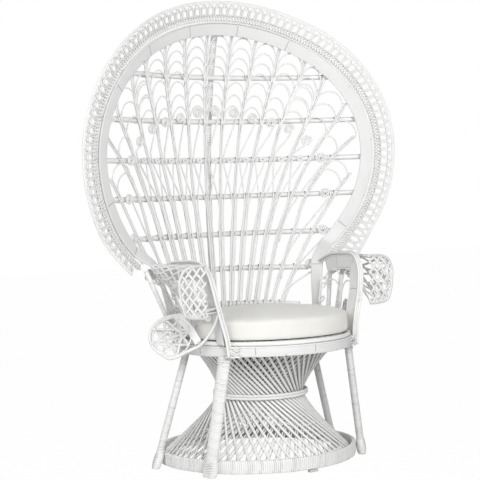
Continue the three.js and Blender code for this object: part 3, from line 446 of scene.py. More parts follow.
def wound_finish():
    """The map counts wraps along and turns round, so their difference is whole at every gap."""
    finish = Finish("painted_wound_cane")
    around, along = finish.parts(finish.map())[:2]
    wrap = along - around
    from_gap = 0.5 - abs(wrap.part() - 0.5)
    chance = finish.node("ShaderNodeTexWhiteNoise", {"noise_dimensions": "1D"}, {"W": wrap.whole()})
    # Painted shade in the gap between two wraps, deeper on some wraps by chance.
    gap = from_gap.within(0.15, 0.03) * (0.3 + chance ** 3.0 * 0.7)
    fibres = finish.noise(finish.surface(1.5, 5.0), 1.0, 4.0)
    blotches = finish.noise(finish.place(), 30.0)
    thin = fibres.within(0.5, 0.8) * 0.25 + blotches.within(0.5, 0.8) * 0.35 + chance.within(0.7, 1.0) * 0.3
    colour = finish.mix(gap, finish.mix(thin, paint_white, paint_grey), wrap_gap_shade_grey)
    relief = finish.bump(fibres * 0.4 - gap, 0.0008, 0.7)
    return finish.set(base_color=colour, roughness=0.46 + thin * 0.2, normal=relief)


def band_finish():
    """Seams stand an even way apart in each lane, and chance leaves some of them out."""
    finish = Finish("painted_flat_cane")
    across, along = finish.parts(finish.map())[:2]
    lane = (across * lane_count).whole()
    cell = along / seam_pitch + lane * lane_shift_share
    number = finish.node("ShaderNodeCombineXYZ", None, {0: lane, 1: cell.whole()})
    chance = finish.node("ShaderNodeTexWhiteNoise", {"noise_dimensions": "2D"}, {"Vector": number})
    seam = abs(cell.part() - 0.5).within(0.008, 0.003) * chance.within(0.35, 0.36)
    grain = finish.noise(finish.surface(26.0, 6.0), 1.0, 4.0)
    blotches = finish.noise(finish.place(), 14.0)
    wear = grain.within(0.5, 0.8) * 0.3 + blotches.within(0.45, 0.8) * 0.25
    colour = finish.mix(seam * 0.8, finish.mix(wear, flat_white, flat_grey), seam_grey)
    relief = finish.bump(grain * 0.4 - seam, 0.0008, 0.7)
    return finish.set(base_color=colour, roughness=0.44 + wear * 0.2, normal=relief)


def deck_finish():
    """A chessboard says which strip is on top, and painted shade darkens that strip's edges."""
    finish = Finish("woven_seat_cane")
    ways = [way / deck_pitch for way in finish.parts(finish.place())[:2]]
    edges = [abs(way.part() - 0.5).within(0.38, 0.48) for way in ways]
    half = (ways[0].whole() + ways[1].whole()) * 0.5
    on_top = half.part() * 2.0
    # Painted shade along the edges of the strip that lies on top.
    gap = edges[0] * (1 - on_top) + edges[1] * on_top
    chance = finish.noise(finish.place(), 60.0)
    colour = finish.mix(chance.within(0.4, 0.75) * 0.5, paint_white, paint_grey)
    colour = finish.mix(gap, colour, weave_edge_shade_dark)
    relief = finish.bump(chance * 0.3 - gap, 0.001, 0.7)
    return finish.set(base_color=colour, roughness=0.5 + gap * 0.2, normal=relief)


wound_cane = wound_finish()
flat_cane = band_finish()
deck_cane = deck_finish()
print("finishes", wound_cane.name, flat_cane.name, deck_cane.name)


# %% [markdown]
# The cushion's cover is plain cotton, and the nails are dark metal. Cloth made thread by thread would be
# far too heavy for a pad of this size, so two sets of fine waves give the weave, and slow noise changes
# its tone.

# %% Finishes of cloth and nails
cloth_white, cloth_shade = (0.88, 0.872, 0.835), (0.80, 0.79, 0.75)
nail_dark, nail_pale = (0.10, 0.10, 0.10), (0.2, 0.2, 0.2)
thread_scale = 260.0


def cushion_finish():
    """Two sets of fine waves cross as warp and weft."""
    finish = Finish("white_cotton_cloth")
    threads = finish.node("ShaderNodeMapping", None, {"Vector": finish.place(), "Scale": (1, 1, 1.3)})
    warp, weft = [
        finish.node("ShaderNodeTexWave",
                    {"wave_type": "BANDS", "wave_profile": "SIN", "bands_direction": direction},
                    {"Vector": threads, "Scale": thread_scale, "Distortion": 0.6})
        for direction in ("X", "Y")
    ]
    slow = finish.noise(finish.place(), 9.0)
    fluff = finish.noise(finish.place(), 700.0, 2.0)
    weave = warp * weft
    colour = finish.mix(slow.within(0.35, 0.75) * 0.5 + weave * 0.2, cloth_white, cloth_shade)
    relief = finish.bump(weave + fluff * 0.6, 0.0004, 0.5)
    return finish.set(base_color=colour, roughness=0.9, normal=relief, sheen_weight=0.25, sheen_roughness=0.5)


def nail_finish():
    """Dull dark metal."""
    finish = Finish("dark_pin")
    tone = finish.noise(finish.place(), 300.0)
    return finish.set(base_color=finish.mix(tone, nail_dark, nail_pale), roughness=0.45)


cushion_cloth = cushion_finish()
nail_steel = nail_finish()
print("finishes", cushion_cloth.name, nail_steel.name)


# %% [markdown]
# The pedestal is an hourglass. A wrapped hoop makes its foot, a double cane ring draws the waist in,
# and straight strands run from the hoop past the waist to the seat, one family leaning each way. All
# strands of a family are one curve turned about the axis, so one function makes them instead of bending
# each by hand. A third family, only above the waist, closes the view under the seat, where the real one is
# dense.

# %% Pedestal
def ring_place(degrees, radius, z, axis_y):
    """Points round a vertical axis; degrees run from the front towards the right."""
    angle = np.radians(degrees)
    return np.stack(np.broadcast_arrays(radius * np.sin(angle), axis_y - radius * np.cos(angle), z), -1)


def outwards(axis_y):
    """The way out from a vertical axis, for every point of a path."""
    return lambda path: unit(np.column_stack([path[:, 0], path[:, 1] - axis_y, np.zeros(len(path))]))


def ring(radius, z, axis_y, outline):
    """A whole ring round a vertical axis."""
    path = ring_place(ring_degrees, radius, z, axis_y)
    return sweep(path, outwards(axis_y)(path), outline, True)


ring_degrees = np.linspace(0, 360, 181)[:-1]
base_bottom, base_top, base_thickness = base_low[2], base_high[2], 0.014
base_wrap_pitch, base_wrap_depth = 0.0065, 0.0012
base_middle = (base_bottom + base_top) / 2
base_path = ring_place(ring_degrees, base_radius - base_thickness / 2, base_middle, pedestal_y)
base_outline = rounded(base_thickness, base_top - base_bottom, 18)
base_wrap = wound(base_path, outwards(pedestal_y), base_outline, base_wrap_pitch, base_wrap_depth, True)
piece("pedestal_base_hoop", [base_wrap], wound_cane, ["base_hoop"], slot="wrapped_band")

waist_height, waist_rod, waist_outer_radius = 0.221, 0.0043, 0.154
waist_radius = waist_outer_radius - waist_rod
waist_y = (pedestal_y + seat_y) / 2
waist_rings = [ring(waist_radius, waist_height + side * waist_rod, waist_y, circle(waist_rod, 10))
               for side in (-1, 1)]
piece("pedestal_waist_ring", waist_rings, round_cane, ["waist_hoop"])

strand_count, strand_twist = 56, 47
strand_foot, strand_head, strand_head_radius = 0.030, 0.392, 0.240
strand_foot_room, strand_waist_room, waist_bend_share = 0.0065, 0.0155, 0.12
strand_floors = [
    (strand_foot, base_radius - base_thickness - strand_foot_room, pedestal_y),
    (waist_height, waist_radius - strand_waist_room, waist_y),
    (strand_head, strand_head_radius, seat_y),
]
outer_strand = rounded(0.0062, 0.0086, 8, 0.8)
inner_strand, lining_strand = circle(0.0023, 6), circle(0.0026, 6)
inner_inset, inner_shifts = 0.0115, (-1.1, 1.1)
lining_inset, lining_turn, lining_shifts = 0.0175, 0.9, (0.4, 3.6)


def strands(inset, turn, outline, shift=0.0, first_knot=0):
    """Each strand: hoop, just under the waist, waist, just over it, seat, joined by one smooth curve."""
    start = 360 * np.arange(strand_count) / strand_count + shift
    low, waist, top = (
        ring_place(start + turn * strand_twist * lead, radius - inset, z, axis_y)
        for (z, radius, axis_y), lead in zip(strand_floors, (1, 0, -1))
    )
    under, over = waist + waist_bend_share * (low - waist), waist + waist_bend_share * (top - waist)
    knots = np.stack([low, under, waist, over, top], 1)
    paths = np.stack([smooth_line(row, 26) for row in knots[:, first_knot:]])
    floors = np.array(strand_floors)
    axis = np.interp(paths[..., 2], floors[:, 0], floors[:, 2])
    across = unit(np.stack([paths[..., 0], paths[..., 1] - axis, np.zeros(axis.shape)], -1))
    return sweep(paths, across, outline)


inner_strands = [strands(inner_inset, -1, inner_strand, shift) for shift in inner_shifts]
lining_strands = [strands(lining_inset, lining_turn, lining_strand, shift, 2) for shift in lining_shifts]
piece("pedestal_outer_strands_dressed", [strands(0.0, 1, outer_strand)], round_cane,
      ["pedestal_outer_strands"])
piece("pedestal_inner_strands_dressed", inner_strands, round_cane, ["pedestal_inner_strands"])
# The lining is darkened above the waist with painted shade, the shade under the seat.
piece("pedestal_top_lining", lining_strands, shaded_cane)


# %% [markdown]
# The seat ring is a wide flat band with a round rod on top of it and a thin bead between them. The cushion
# rests on the rod. All three are outlines carried round the seat's axis, which keeps them level.

# %% Seat ring
seat_bottom, band_top, apron_thickness = seat_low[2], seat_high[2], 0.012
apron_outline = rounded(apron_thickness, band_top - seat_bottom, 20, 0.35)
apron = ring(seat_radius - apron_thickness / 2, (seat_bottom + band_top) / 2, seat_y, apron_outline)
piece("seat_apron_band", [apron], flat_cane, ["seat_band"], slot="wrapped_band")

rim_radius, rim_inset, rim_wrap_pitch, rim_wrap_depth = 0.0073, 0.0079, 0.012, 0.0003
bead_radius, bead_inset, bead_sink = 0.0026, 0.0005, 0.001
rim_path = ring_place(ring_degrees, seat_radius - rim_inset, seat_top - rim_radius, seat_y)
rim_rod = wound(rim_path, outwards(seat_y), circle(rim_radius, 12), rim_wrap_pitch, rim_wrap_depth, True)
bead = ring(seat_radius - bead_inset, band_top - bead_sink, seat_y, circle(bead_radius))
piece("seat_rim_rod_dressed", [rim_rod, bead], round_cane, ["seat_rim_rod"])


# %% [markdown]
# Each leg is a pole wound closely with cane, so it shows fine rings. It stands beside the hoop and leans
# in until its top is under the seat band. Thin cane is wound crosswise over every foot and over the tops
# of the front legs as a lashing. Painted stripes would look flat from the side, so the lashings are
# helices on an oval a little larger than the leg.

# %% Legs
leg_clearance, leg_head_gap = 0.0025, 0.0004
leg_top = seat_bottom - leg_head_gap
front_leg = {"foot": 57.0, "top": 60.4, "inset": 0.009, "width": 0.042, "thickness": 0.025}
side_leg = {"foot": 98.5, "top": 109.5, "inset": 0.021, "width": 0.024, "thickness": 0.024}
leg_wrap_pitch, leg_wrap_depth, leg_wrap_inset = 0.0046, 0.0006, 0.0003
lashing_cane, collar_cane = rounded(0.0016, 0.0040, 6, 0.8), rounded(0.0022, 0.0042, 6, 0.8)
lashing_gap, collar_gap, collar_shift = 0.0008, 0.0015, 6.5
foot_lashing = {"low": 0.004, "high": 0.050, "turns": 9, "bulge": 0.0022}
head_lashing = {"low": 0.3495, "high": 0.3625, "turns": 3, "bulge": 0.0012}
edge_reach, edge_sink, edge_lift = 5.4, 0.001, 0.013
cross_reach, cross_rise, cross_shift, cross_lift, cross_step = 5.0, 0.011, 0.003, 0.0115, 0.001


def leg_axis(leg, side, z):
    """The straight middle line of a leg: clear of the hoop below, under the seat band above."""
    foot_radius = base_radius + leg_clearance + leg["thickness"] / 2
    low = ring_place(side * leg["foot"], foot_radius, base_top, pedestal_y)
    high = ring_place(side * leg["top"], seat_radius - leg["inset"], leg_top, seat_y)
    share = (np.asarray(z)[..., None] - base_top) / (leg_top - base_top)
    return low + share * (high - low)


def oval(leg, grow):
    """The outline of a leg's section, a little larger or smaller."""
    return circle(1.0, 18) * [leg["thickness"] / 2 + grow, leg["width"] / 2 + grow]


def leg_ways(leg, side):
    """Away from the pedestal and along the hoop, at a leg's foot."""
    return ring_place(side * leg["foot"], 1.0, 0.0, 0.0), ring_place(side * leg["foot"] + 90, 1.0, 0.0, 0.0)


def lashing(leg, side, slope, low, high, turns, bulge):
    """A thin cane wound round a leg: a helix on a larger oval that swells towards its middle height."""
    t = np.linspace(0, 1, int(turns * 20))
    centre = leg_axis(leg, side, low + (high - low) * t)
    out, beside_hoop = leg_ways(leg, side)
    angle = 2 * math.pi * turns * t * slope
    grow = (lashing_gap + bulge * np.sin(math.pi * t))[:, None]
    path = (centre + out * (leg["thickness"] / 2 + grow) * np.cos(angle)[:, None]
            + beside_hoop * (leg["width"] / 2 + grow) * np.sin(angle)[:, None])
    return sweep(path, path - centre, lashing_cane)


def collar_turn(side, middle, reach, rise, lift):
    """A cane across the face of the seat band over a front leg: it bows outwards over the rods."""
    s = np.linspace(-1, 1, 20)
    radius = seat_radius + collar_gap + lift * np.sqrt(1 - s ** 2)
    path = ring_place(side * (front_leg["top"] - collar_shift + reach * s), radius, middle + rise * s, seat_y)
    return sweep(path, outwards(seat_y)(path), collar_cane)


for word, side in (("left", -1), ("right", 1)):
    for place, leg in (("front", front_leg), ("side", side_leg)):
        line = leg_axis(leg, side, np.linspace(0, leg_top, 40))
        outline = oval(leg, -leg_wrap_inset)
        pole = wound(line, leg_ways(leg, side)[0], outline, leg_wrap_pitch, leg_wrap_depth)
        pole["points"][:, 2] = np.maximum(pole["points"][:, 2], 0)
        piece(f"leg_{place}_{word}_wound", [pole], wound_cane, [f"leg_{place}_{word}"], slot="wrapped_band")
        turns = [lashing(leg, side, slope, **foot_lashing) for slope in (1, -1)]
        piece(f"foot_lashing_{place}_{word}", turns, round_cane, [f"foot_binding_{place}_{word}"])
    collar = [lashing(front_leg, side, 1, **head_lashing)]
    for z in (seat_bottom + edge_sink, band_top - edge_sink):
        collar.append(collar_turn(side, z, edge_reach, 0.0, edge_lift))
    for shift in (-cross_shift, cross_shift):
        for slope in (1, -1):
            z, lift = (seat_bottom + band_top) / 2 + shift, cross_lift + slope * cross_step
            collar.append(collar_turn(side, z, cross_reach, slope * cross_rise, lift))
    piece(f"seat_lashing_front_{word}", collar, round_cane, [f"seat_binding_front_{word}"])


# %% [markdown]
# The back is a dish. It stands nearly upright, curls forward at the top, and bends round the sitter at
# both sides. A mesh could be pulled into this form, but all the canes lie on it or in layers behind it. So
# it is a function of two numbers, the place across the chair and the height, and every cane asks it for
# its depth.

# %% Back surface
peak_behind, peak_height = 0.202, 0.860
peak_y = peak_behind + pedestal_y
curl_radius, foot_radius = 1.920, 5.500
wide_arc, wide_degrees = 0.700, 26.6
tight_arc, tight_degrees = 0.275, 60.0
arc_height = 0.750


def back_depth(x, z):
    """Two parabolas on the centre line; an arc across that runs on straight, tighter near the seat."""
    rise = np.maximum(z - peak_height, 0)
    drop = np.maximum(peak_height - z, 0)
    centre = peak_y - rise ** 2 / (2 * curl_radius) - drop ** 2 / (2 * foot_radius)
    t = np.clip((z - seat_top) / (arc_height - seat_top), 0, 1)
    share = t * t * (3 - 2 * t)
    radius = tight_arc + (wide_arc - tight_arc) * share
    angle = np.radians(tight_degrees + (wide_degrees - tight_degrees) * share)
    inside = np.minimum(np.abs(x), radius * np.sin(angle))
    past = np.abs(x) - inside
    return centre - (radius - np.sqrt(radius ** 2 - inside ** 2)) - past * np.tan(angle)


def back_normal(x, z, step=0.001):
    """The way out of the dish backwards, from its slopes across and up."""
    slope_x = (back_depth(x + step, z) - back_depth(x - step, z)) / (2 * step)
    slope_z = (back_depth(x, z + step) - back_depth(x, z - step)) / (2 * step)
    return unit(np.stack([-slope_x, np.ones_like(slope_x), -slope_z], -1))


def on_back(x, z, depth=0.0):
    """A point `depth` behind the dish, and the way out of it there."""
    x, z, depth = np.broadcast_arrays(np.asarray(x, float), z, depth)
    normal = back_normal(x, z)
    return np.stack([x, back_depth(x, z), z], -1) + depth[..., None] * normal, normal


def back_cane(x, z, depth, outline):
    """A cane that lies on the back, through arrays of places."""
    path, normal = on_back(x, z, depth)
    return sweep(path, normal, outline)


side_depth = back_depth(back_width / 2, peak_height)
print("the back bends forward by", round(float(peak_y - side_depth), 3), "at its sides")


# %% [markdown]
# The hoop is two half ellipses that meet at its widest height. A line drawn by hand would wobble over such
# a length. A place on the hoop is an angle from the top, or a distance along it, and a distance out from
# the line between the flat band and the openwork border.

# %% Hoop lines
border_width, band_width, band_thickness = 0.068, 0.042, 0.008
hoop_centre = 0.990
hoop_half = back_width / 2 - border_width
hoop_up = chair_height - border_width - hoop_centre
hoop_down = 0.465
hoop_end, spare_degrees = 134.0, 8.0


def hoop_line(degrees, grow):
    """Places across and up on the hoop at angles from the top, `grow` outside its inner line."""
    angle = np.radians(degrees)
    reach = np.where(np.cos(angle) > 0, hoop_up, hoop_down) + grow
    return (hoop_half + grow) * np.sin(angle), hoop_centre + reach * np.cos(angle)


fine_degrees = np.linspace(-hoop_end - spare_degrees, hoop_end + spare_degrees, 1701)
fine_x, fine_z = hoop_line(fine_degrees, border_width / 2)
fine_run = lengths_along(on_back(fine_x, fine_z)[0])
fine_run -= np.interp(-hoop_end, fine_degrees, fine_run)
border_run = np.interp(hoop_end, fine_degrees, fine_run)
print("border length", round(float(border_run), 3))


def border(run, out, depth=0.0):
    """A point of the border: `run` from its left end, `out` from its inner edge, `depth` behind the dish."""
    degrees = np.interp(run, fine_run, fine_degrees)
    return on_back(*hoop_line(degrees, out), depth)


def border_cane(run, out, depth, outline):
    """A cane of the border, through arrays of places."""
    path, normal = border(run, out, depth)
    return sweep(path, normal, outline)


# %% [markdown]
# From the inside out the border has a thin rod, a three-strand plait, an open ladder of paired canes, and
# a zigzag where the pairs part again, closed by two rods. The plait's strands are one sine across the
# border and one of twice its rate through it, each a third of a turn behind the last. Every cane is a
# formula in the distance along the hoop, so the pattern ends evenly on both sides, which copies of one
# window wouldn't.

# %% Border
inner_more = 0.030
inner_run = np.linspace(-inner_more, border_run + inner_more, 700)
run_fine = np.linspace(0, border_run, 700)

plait_pitch, plait_middle, plait_reach, plait_lift = 0.034, 0.0135, 0.0072, 0.0034
plait_strip, rung_strip = rounded(0.0030, 0.0074, 8, 0.8), rounded(0.0048, 0.0060, 8, 0.8)
run_plait = np.linspace(-inner_more, border_run + inner_more, int(border_run / plait_pitch * 14))
plait = []
for third in range(3):
    phase = 2 * math.pi * (run_plait / plait_pitch + third / 3)
    out, depth = plait_middle + plait_reach * np.sin(phase), -plait_lift * np.sin(2 * phase)
    plait.append(border_cane(run_plait, out, depth, plait_strip))
piece("hoop_openwork_plait", plait, fan_cane, ["hoop_lattice"])

window_pitch, rung_margin, rung_end = 0.027, 0.006, 0.001
rung_half, rung_spread, rung_lift = 0.0034, 0.0112, 0.0016
window_count = int(round(border_run / window_pitch))
rung_share = np.arange(window_count + 1) / window_count
rung_run = (rung_share * (border_run - 2 * rung_margin) + rung_margin)[:, None]
rung_out = np.array([0.019, 0.028, 0.037, 0.045, 0.051, 0.057, 0.0625])
part_from, part_over = 0.044, 0.0185
spread = np.clip((rung_out - part_from) / part_over, 0, 1)
rungs = []
for side in (-1, 1):
    run = np.clip(rung_run + side * (rung_half + rung_spread * spread), rung_end, border_run - rung_end)
    rungs.append(border_cane(run, rung_out, side * rung_lift * spread, rung_strip))

rail_rod, rail_depth = circle(0.0017, 6), 0.0036
rails = []
rail_places = [(0.0245, inner_more * 0.7), (0.0465, 0.0)]
for out, more in rail_places:
    run = run_fine + (run_fine / border_run * 2 - 1) * more
    rails += [border_cane(run, out, depth, rail_rod) for depth in (-rail_depth, rail_depth)]
piece("hoop_openwork_ladder", rungs + rails, fan_cane)

outer_rod_places = [(0.0612, 0.0029), (0.0652, 0.0031)]
outer_rods = [border_cane(run_fine, out, 0.0, circle(radius)) for out, radius in outer_rod_places]
piece("hoop_outer_rods", outer_rods, round_cane, ["hoop_outer_rod"])
inner_rod_out, inner_rod_depth, inner_rod_radius = 0.0014, 0.0078, 0.0022
inner_rod = border_cane(inner_run, inner_rod_out, -inner_rod_depth, circle(inner_rod_radius))
piece("hoop_inner_rod_dressed", [inner_rod], round_cane, ["hoop_inner_rod"])


# %% [markdown]
# The wide band inside the border is flat cane, smooth and a little greyer. Near the arms it leaves the
# hoop and runs down and forward to the side of the seat. Round the hoop it follows the formula. Below,
# where the real one is bent freely, it is a smooth curve through a few listed points.

# %% Wide band
band_turn_degrees = 133.0
band_foot_degrees, band_foot_gap, band_foot_height = 108.0, 0.0105, 0.3969
band_leg_shares = [(0.82, 0.394, 0.6), (0.6, 0.228, 0.42), (0.33, 0.099, 0.22), (0.0, 0.0, 0.0)]
turn_point = on_back(*hoop_line(band_turn_degrees, -band_width / 2))[0]
foot_point = ring_place(band_foot_degrees, seat_radius + band_foot_gap, band_foot_height, seat_y)
leg_knots = [foot_point + (turn_point - foot_point) * [side, back, rise]
             for rise, side, back in band_leg_shares]
arc = on_back(*hoop_line(np.linspace(0, band_turn_degrees, 181), -band_width / 2))[0]
leg_line = smooth_line([arc[-1], *leg_knots], 60)
band_right = np.vstack([arc, leg_line[1:]])
band_path = even_line(np.vstack([(band_right * [-1, 1, 1])[:0:-1], band_right]), 420)
lean = np.clip((band_path[:, 2] - foot_point[2]) / (turn_point[2] - foot_point[2]), 0, 1)[:, None] ** 2
facing = back_normal(band_path[:, 0], np.maximum(band_path[:, 2], turn_point[2]))
sideways = np.sign(band_path[:, :1]) * [[1.0, 0.0, 0.0]]
band_across = unit(lean * facing + (1 - lean) * sideways)
wide_band = sweep(band_path, band_across, rounded(band_thickness, band_width, 24, 0.32))
piece("hoop_wide_band_dressed", [wide_band], flat_cane, ["hoop_wide_band"], slot="wrapped_band")

order = np.argsort(band_right[:, 2])
band_z, band_x = band_right[order, 2], band_right[order, 0]


def band_reach(z):
    """How far out the middle of the wide band is at a height."""
    return np.interp(z, band_z, band_x)


# %% [markdown]
# Behind the canes seven round bars run across, and one wrapped post stands on the centre line. They could
# be bent one by one, but they follow the dish at a depth of their own, so the gap to the canes in front
# stays even.

# %% Bars and post
def height_at(shares):
    """Heights from shares of the way between the seat and the top of the chair."""
    return seat_top + (chair_height - seat_top) * np.array(shares)


bar_heights = height_at([0.771, 0.638, 0.52, 0.408, 0.291, 0.183, 0.073])
bar_depth, bar_radius = 0.0265, 0.0085
bar_reaches = band_reach(bar_heights)
bar_reaches[-1] -= band_width
for number, (z, reach) in enumerate(zip(bar_heights, bar_reaches), 1):
    bar = back_cane(np.linspace(-reach, reach, 120), z, bar_depth, circle(bar_radius, 12))
    piece(f"cross_bar_{number}_dressed", [bar], round_cane, [f"cross_bar_{number}"])

post_depth, post_radius, post_foot = 0.0485, 0.011, 0.362
post_wrap_pitch, post_wrap_depth = 0.008, 0.0007
post_head = chair_height - border_width - band_width / 2
post_line = on_back(0.0, np.linspace(post_foot, post_head, 60), post_depth)[0]
post = wound(post_line, [0, 1, 0], circle(post_radius, 14), post_wrap_pitch, post_wrap_depth)
piece("rear_post_wound", [post], wound_cane, ["rear_post"])


# %% [markdown]
# The fan of the back: sixteen ribs spread from the seat. Each rib's place across is given at the bars, as
# a share of half the back's width, and a smooth curve joins them, because straight ribs would miss their
# slight bow. Number 0 is the rib next to the centre.

# %% Ribs
half_width = back_width / 2
rib_shares = [
    (0.079, [0.0686, 0.056, 0.0485, 0.0443, 0.0351, 0.031, 0.0268], 0.023),
    (0.229, [0.204, 0.17, 0.15, 0.131, 0.111, 0.091, 0.07], 0.0635),
    (0.368, [0.344, 0.2935, 0.2467, 0.209, 0.1756, 0.146, 0.117], 0.105),
    (0.507, [0.4925, 0.4055, 0.351, 0.296, 0.248, 0.205, 0.162], 0.146),
    (0.625, [0.617, 0.539, 0.4515, 0.379, 0.315, 0.261, 0.207], 0.187),
    (0.736, [0.69, 0.56, 0.465, 0.386, 0.322, 0.2575], 0.23),
    (0.79, [0.6756, 0.5385, 0.463, 0.378, 0.2926], 0.262),
    (0.77, [0.69, 0.561, 0.447, 0.334], 0.295),
]
low_rib_tops = height_at([0.69, 0.585, 0.47])
rib_depth, rib_foot, rib_half_pair, rib_tuck = 0.0135, 0.4135, 0.003, 0.012
upper = band_right[band_right[:, 2] > hoop_centre]


def band_under(x):
    """Height of the lower edge of the wide band over a place across the back."""
    return np.interp(np.abs(x), upper[:, 0], upper[:, 2]) - band_width / 2


rib_lines = []
for number, (top, bars, foot) in enumerate(rib_shares):
    rib_top = band_under(top * half_width) + rib_tuck if number < 5 else low_rib_tops[number - 5]
    heights = [seat_top, *bar_heights[::-1][:len(bars)], rib_top]
    shares = np.array([foot, *bars[::-1], top])
    rib_lines.append(smooth_line(np.column_stack([shares * half_width, heights]), 120))


def rib_x(rib, z):
    """Place across of a signed rib: 1 to 8 on the right, -1 to -8 on the left, past 8 the wide band."""
    number = abs(rib) - 1
    past = band_reach(z) - band_width / 2
    if number >= len(rib_lines):
        return np.sign(rib) * past
    line = rib_lines[number]
    inside = np.interp(z, line[:, 1], line[:, 0])
    return np.sign(rib) * np.where(np.asarray(z) > line[-1, 1], np.maximum(past, inside), inside)


leaves = {}


def grow(rib, *shapes):
    """Adds shapes to the leaf of a signed rib; 0 is the centre."""
    leaves.setdefault(rib, []).extend(shapes)


rib_cane, arch_cane = circle(0.0029), circle(0.0024)
for side in (-1, 1):
    for number, line in enumerate(rib_lines):
        rib = side * (number + 1)
        z = np.linspace(rib_foot, line[-1, 1], 90)
        slope = np.hypot(1, np.gradient(rib_x(rib, z), z))
        for lateral in (-rib_half_pair, rib_half_pair):
            grow(rib, back_cane(rib_x(rib, z) + lateral * slope, z, rib_depth, rib_cane))
print("ribs", 2 * len(rib_lines))


# %% [markdown]
# Between the ribs stand nested arches. An arch is half an ellipse on two straight legs that follow the
# ribs down and tuck in behind them. In the nine middle columns the outermost arch reaches the wide band.
# Each column has its own width and lean, so an arch is worked out between its two ribs and not copied.

# %% Arches
arch_depth, arch_clearance, arch_fall_share = 0.0105, 0.0052, 0.08


def arch(left, right, crown, rise, leg):
    """One arch between two signed ribs: leg up, half an ellipse over, leg down."""
    spring = crown - rise
    angle = np.linspace(0, math.pi, 22)
    inner_left = rib_x(left, spring) + arch_clearance
    inner_right = rib_x(right, spring) - arch_clearance
    middle, half = (inner_left + inner_right) / 2, (inner_right - inner_left) / 2
    over_x, over_z = middle - half * np.cos(angle), spring + rise * np.sin(angle)
    fall = np.linspace(1, arch_fall_share, 8)
    leg_z = spring - leg * fall
    tuck = arch_clearance * (1 - fall) ** 0.5
    left_x = rib_x(left, leg_z) + tuck
    right_x = (rib_x(right, leg_z) - tuck)[::-1]
    x = np.concatenate([left_x, over_x, right_x])
    z = np.concatenate([leg_z, over_z, leg_z[::-1]])
    return back_cane(x, z, arch_depth, arch_cane)


def leaf_of(left, right):
    """The signed rib whose leaf holds what grows between two ribs; 0 between the two middle ones."""
    if left == -right:
        return 0
    return left if abs(left) < abs(right) else right


top_step, top_rise, top_leg, top_gap = 0.033, 0.056, 0.04, 0.002
low_rise, low_leg = 0.052, 0.045
crowns = {
    0: [1.238, 1.196, 1.160], 1: [1.238, 1.196, 1.160], 2: [1.236, 1.193, 1.155],
    3: [1.234, 1.187, 1.148], 4: [1.230, 1.180, 1.140], 5: [1.204, 1.163, 1.118],
    6: [1.104, 1.054], 7: [0.969, 0.939],
}
crown_nail_rise, crown_nail_depth = 0.004, -0.0045
columns = [(-1, 1)] + [pair for inner in range(1, 9) for pair in ((inner, inner + 1), (-inner - 1, -inner))]
nails = []
for left, right in columns:
    leaf = leaf_of(left, right)
    if abs(leaf) < 5:
        middle = (rib_x(left, bar_heights[0]) + rib_x(right, bar_heights[0])) / 2
        top_crown = float(band_under(middle)) - top_gap
        for step in range(4):
            grow(leaf, arch(left, right, top_crown - step * top_step, top_rise, top_leg))
        nails.append((middle, top_crown + crown_nail_rise, crown_nail_depth))
    for crown in crowns.get(abs(leaf), []):
        grow(leaf, arch(left, right, crown, low_rise, low_leg))
print("columns", len(columns))


# %% [markdown]
# Canes end in flat coils. A coil starts on its right side, where the stem comes up, and winds inwards
# anticlockwise while its radius shrinks evenly. The stem of a large coil climbs on the right of its column
# and goes over to the left between two bars. The stem of a small coil climbs on the left, so the two
# cross. Stem and coil are one swept line, as they are one cane on the real chair.

# %% Coils
bar_3, bar_4, bar_5 = bar_heights[2:5]
large_radius, small_radius = 0.0195, 0.0125
large_section, small_section = 0.0027, 0.0023
large_turns, small_turns = 2.6, 2.0
stem_depth, coil_depth = 0.0100, 0.0075
stem_foot, stem_asides = 0.45, (0.006, 0.0085, 0.009)
large_heights, small_heights = (stem_foot, bar_5, bar_4 - 0.02), (stem_foot, bar_5, bar_4 - 0.012)
large_coils = {
    0: (0.0, 1.141), 1: (0.070, 1.137), 2: (0.140, 1.118),
    3: (0.205, 1.103), 4: (0.265, 1.081), 5: (0.322, 1.039),
}
side_coils = {6: (0.366, 0.978, bar_4), 7: (0.379, 0.856, bar_5), 8: (0.366, 0.730, bar_5 - 0.06)}


def coil_cane(x, z, radius, stem, turns=large_turns, section=large_section):
    """A stem through given points, then an even spiral inwards."""
    t = np.linspace(0, 1, int(turns * 22))
    angle = 2 * math.pi * turns * t
    reach = radius - section - (radius - 2.2 * section) * t
    spiral = np.column_stack([x + reach * np.cos(angle), z + reach * np.sin(angle)])
    stem = smooth_line([*stem, spiral[0] - [0, radius / 2], spiral[0]], 26)[:-2]
    line = np.vstack([stem, spiral])
    place = np.minimum(np.arange(len(line)) / (len(stem) - 1), 1)
    depths = stem_depth + (coil_depth - stem_depth) * place
    return back_cane(line[:, 0], line[:, 1], depths, circle(section))


def beside(rib, z, lateral):
    """A point of a stem: a little to one side of a signed rib."""
    return [float(rib_x(rib, z)) + lateral, z]


def climb(rib, heights, side):
    """The lower part of a stem, which moves away from its rib as it climbs."""
    return [beside(rib, z, side * aside) for z, aside in zip(heights, stem_asides)]


for left, right in columns:
    leaf = leaf_of(left, right)
    if abs(leaf) in large_coils:
        x, z = large_coils[abs(leaf)]
        over = [beside(left, bar_3 - 0.004, 0.008), beside(left, bar_3 + 0.03, 0.012)]
        stem = climb(right, large_heights, -1) + over
        grow(leaf, coil_cane(x if right > 0 else -x, z, large_radius, stem))
    if abs(leaf) < 6:
        x = float(rib_x(left, bar_3) + rib_x(right, bar_3)) / 2
        stem = climb(left, small_heights, 1)
        grow(leaf, coil_cane(x, bar_3, small_radius, stem, small_turns, small_section))

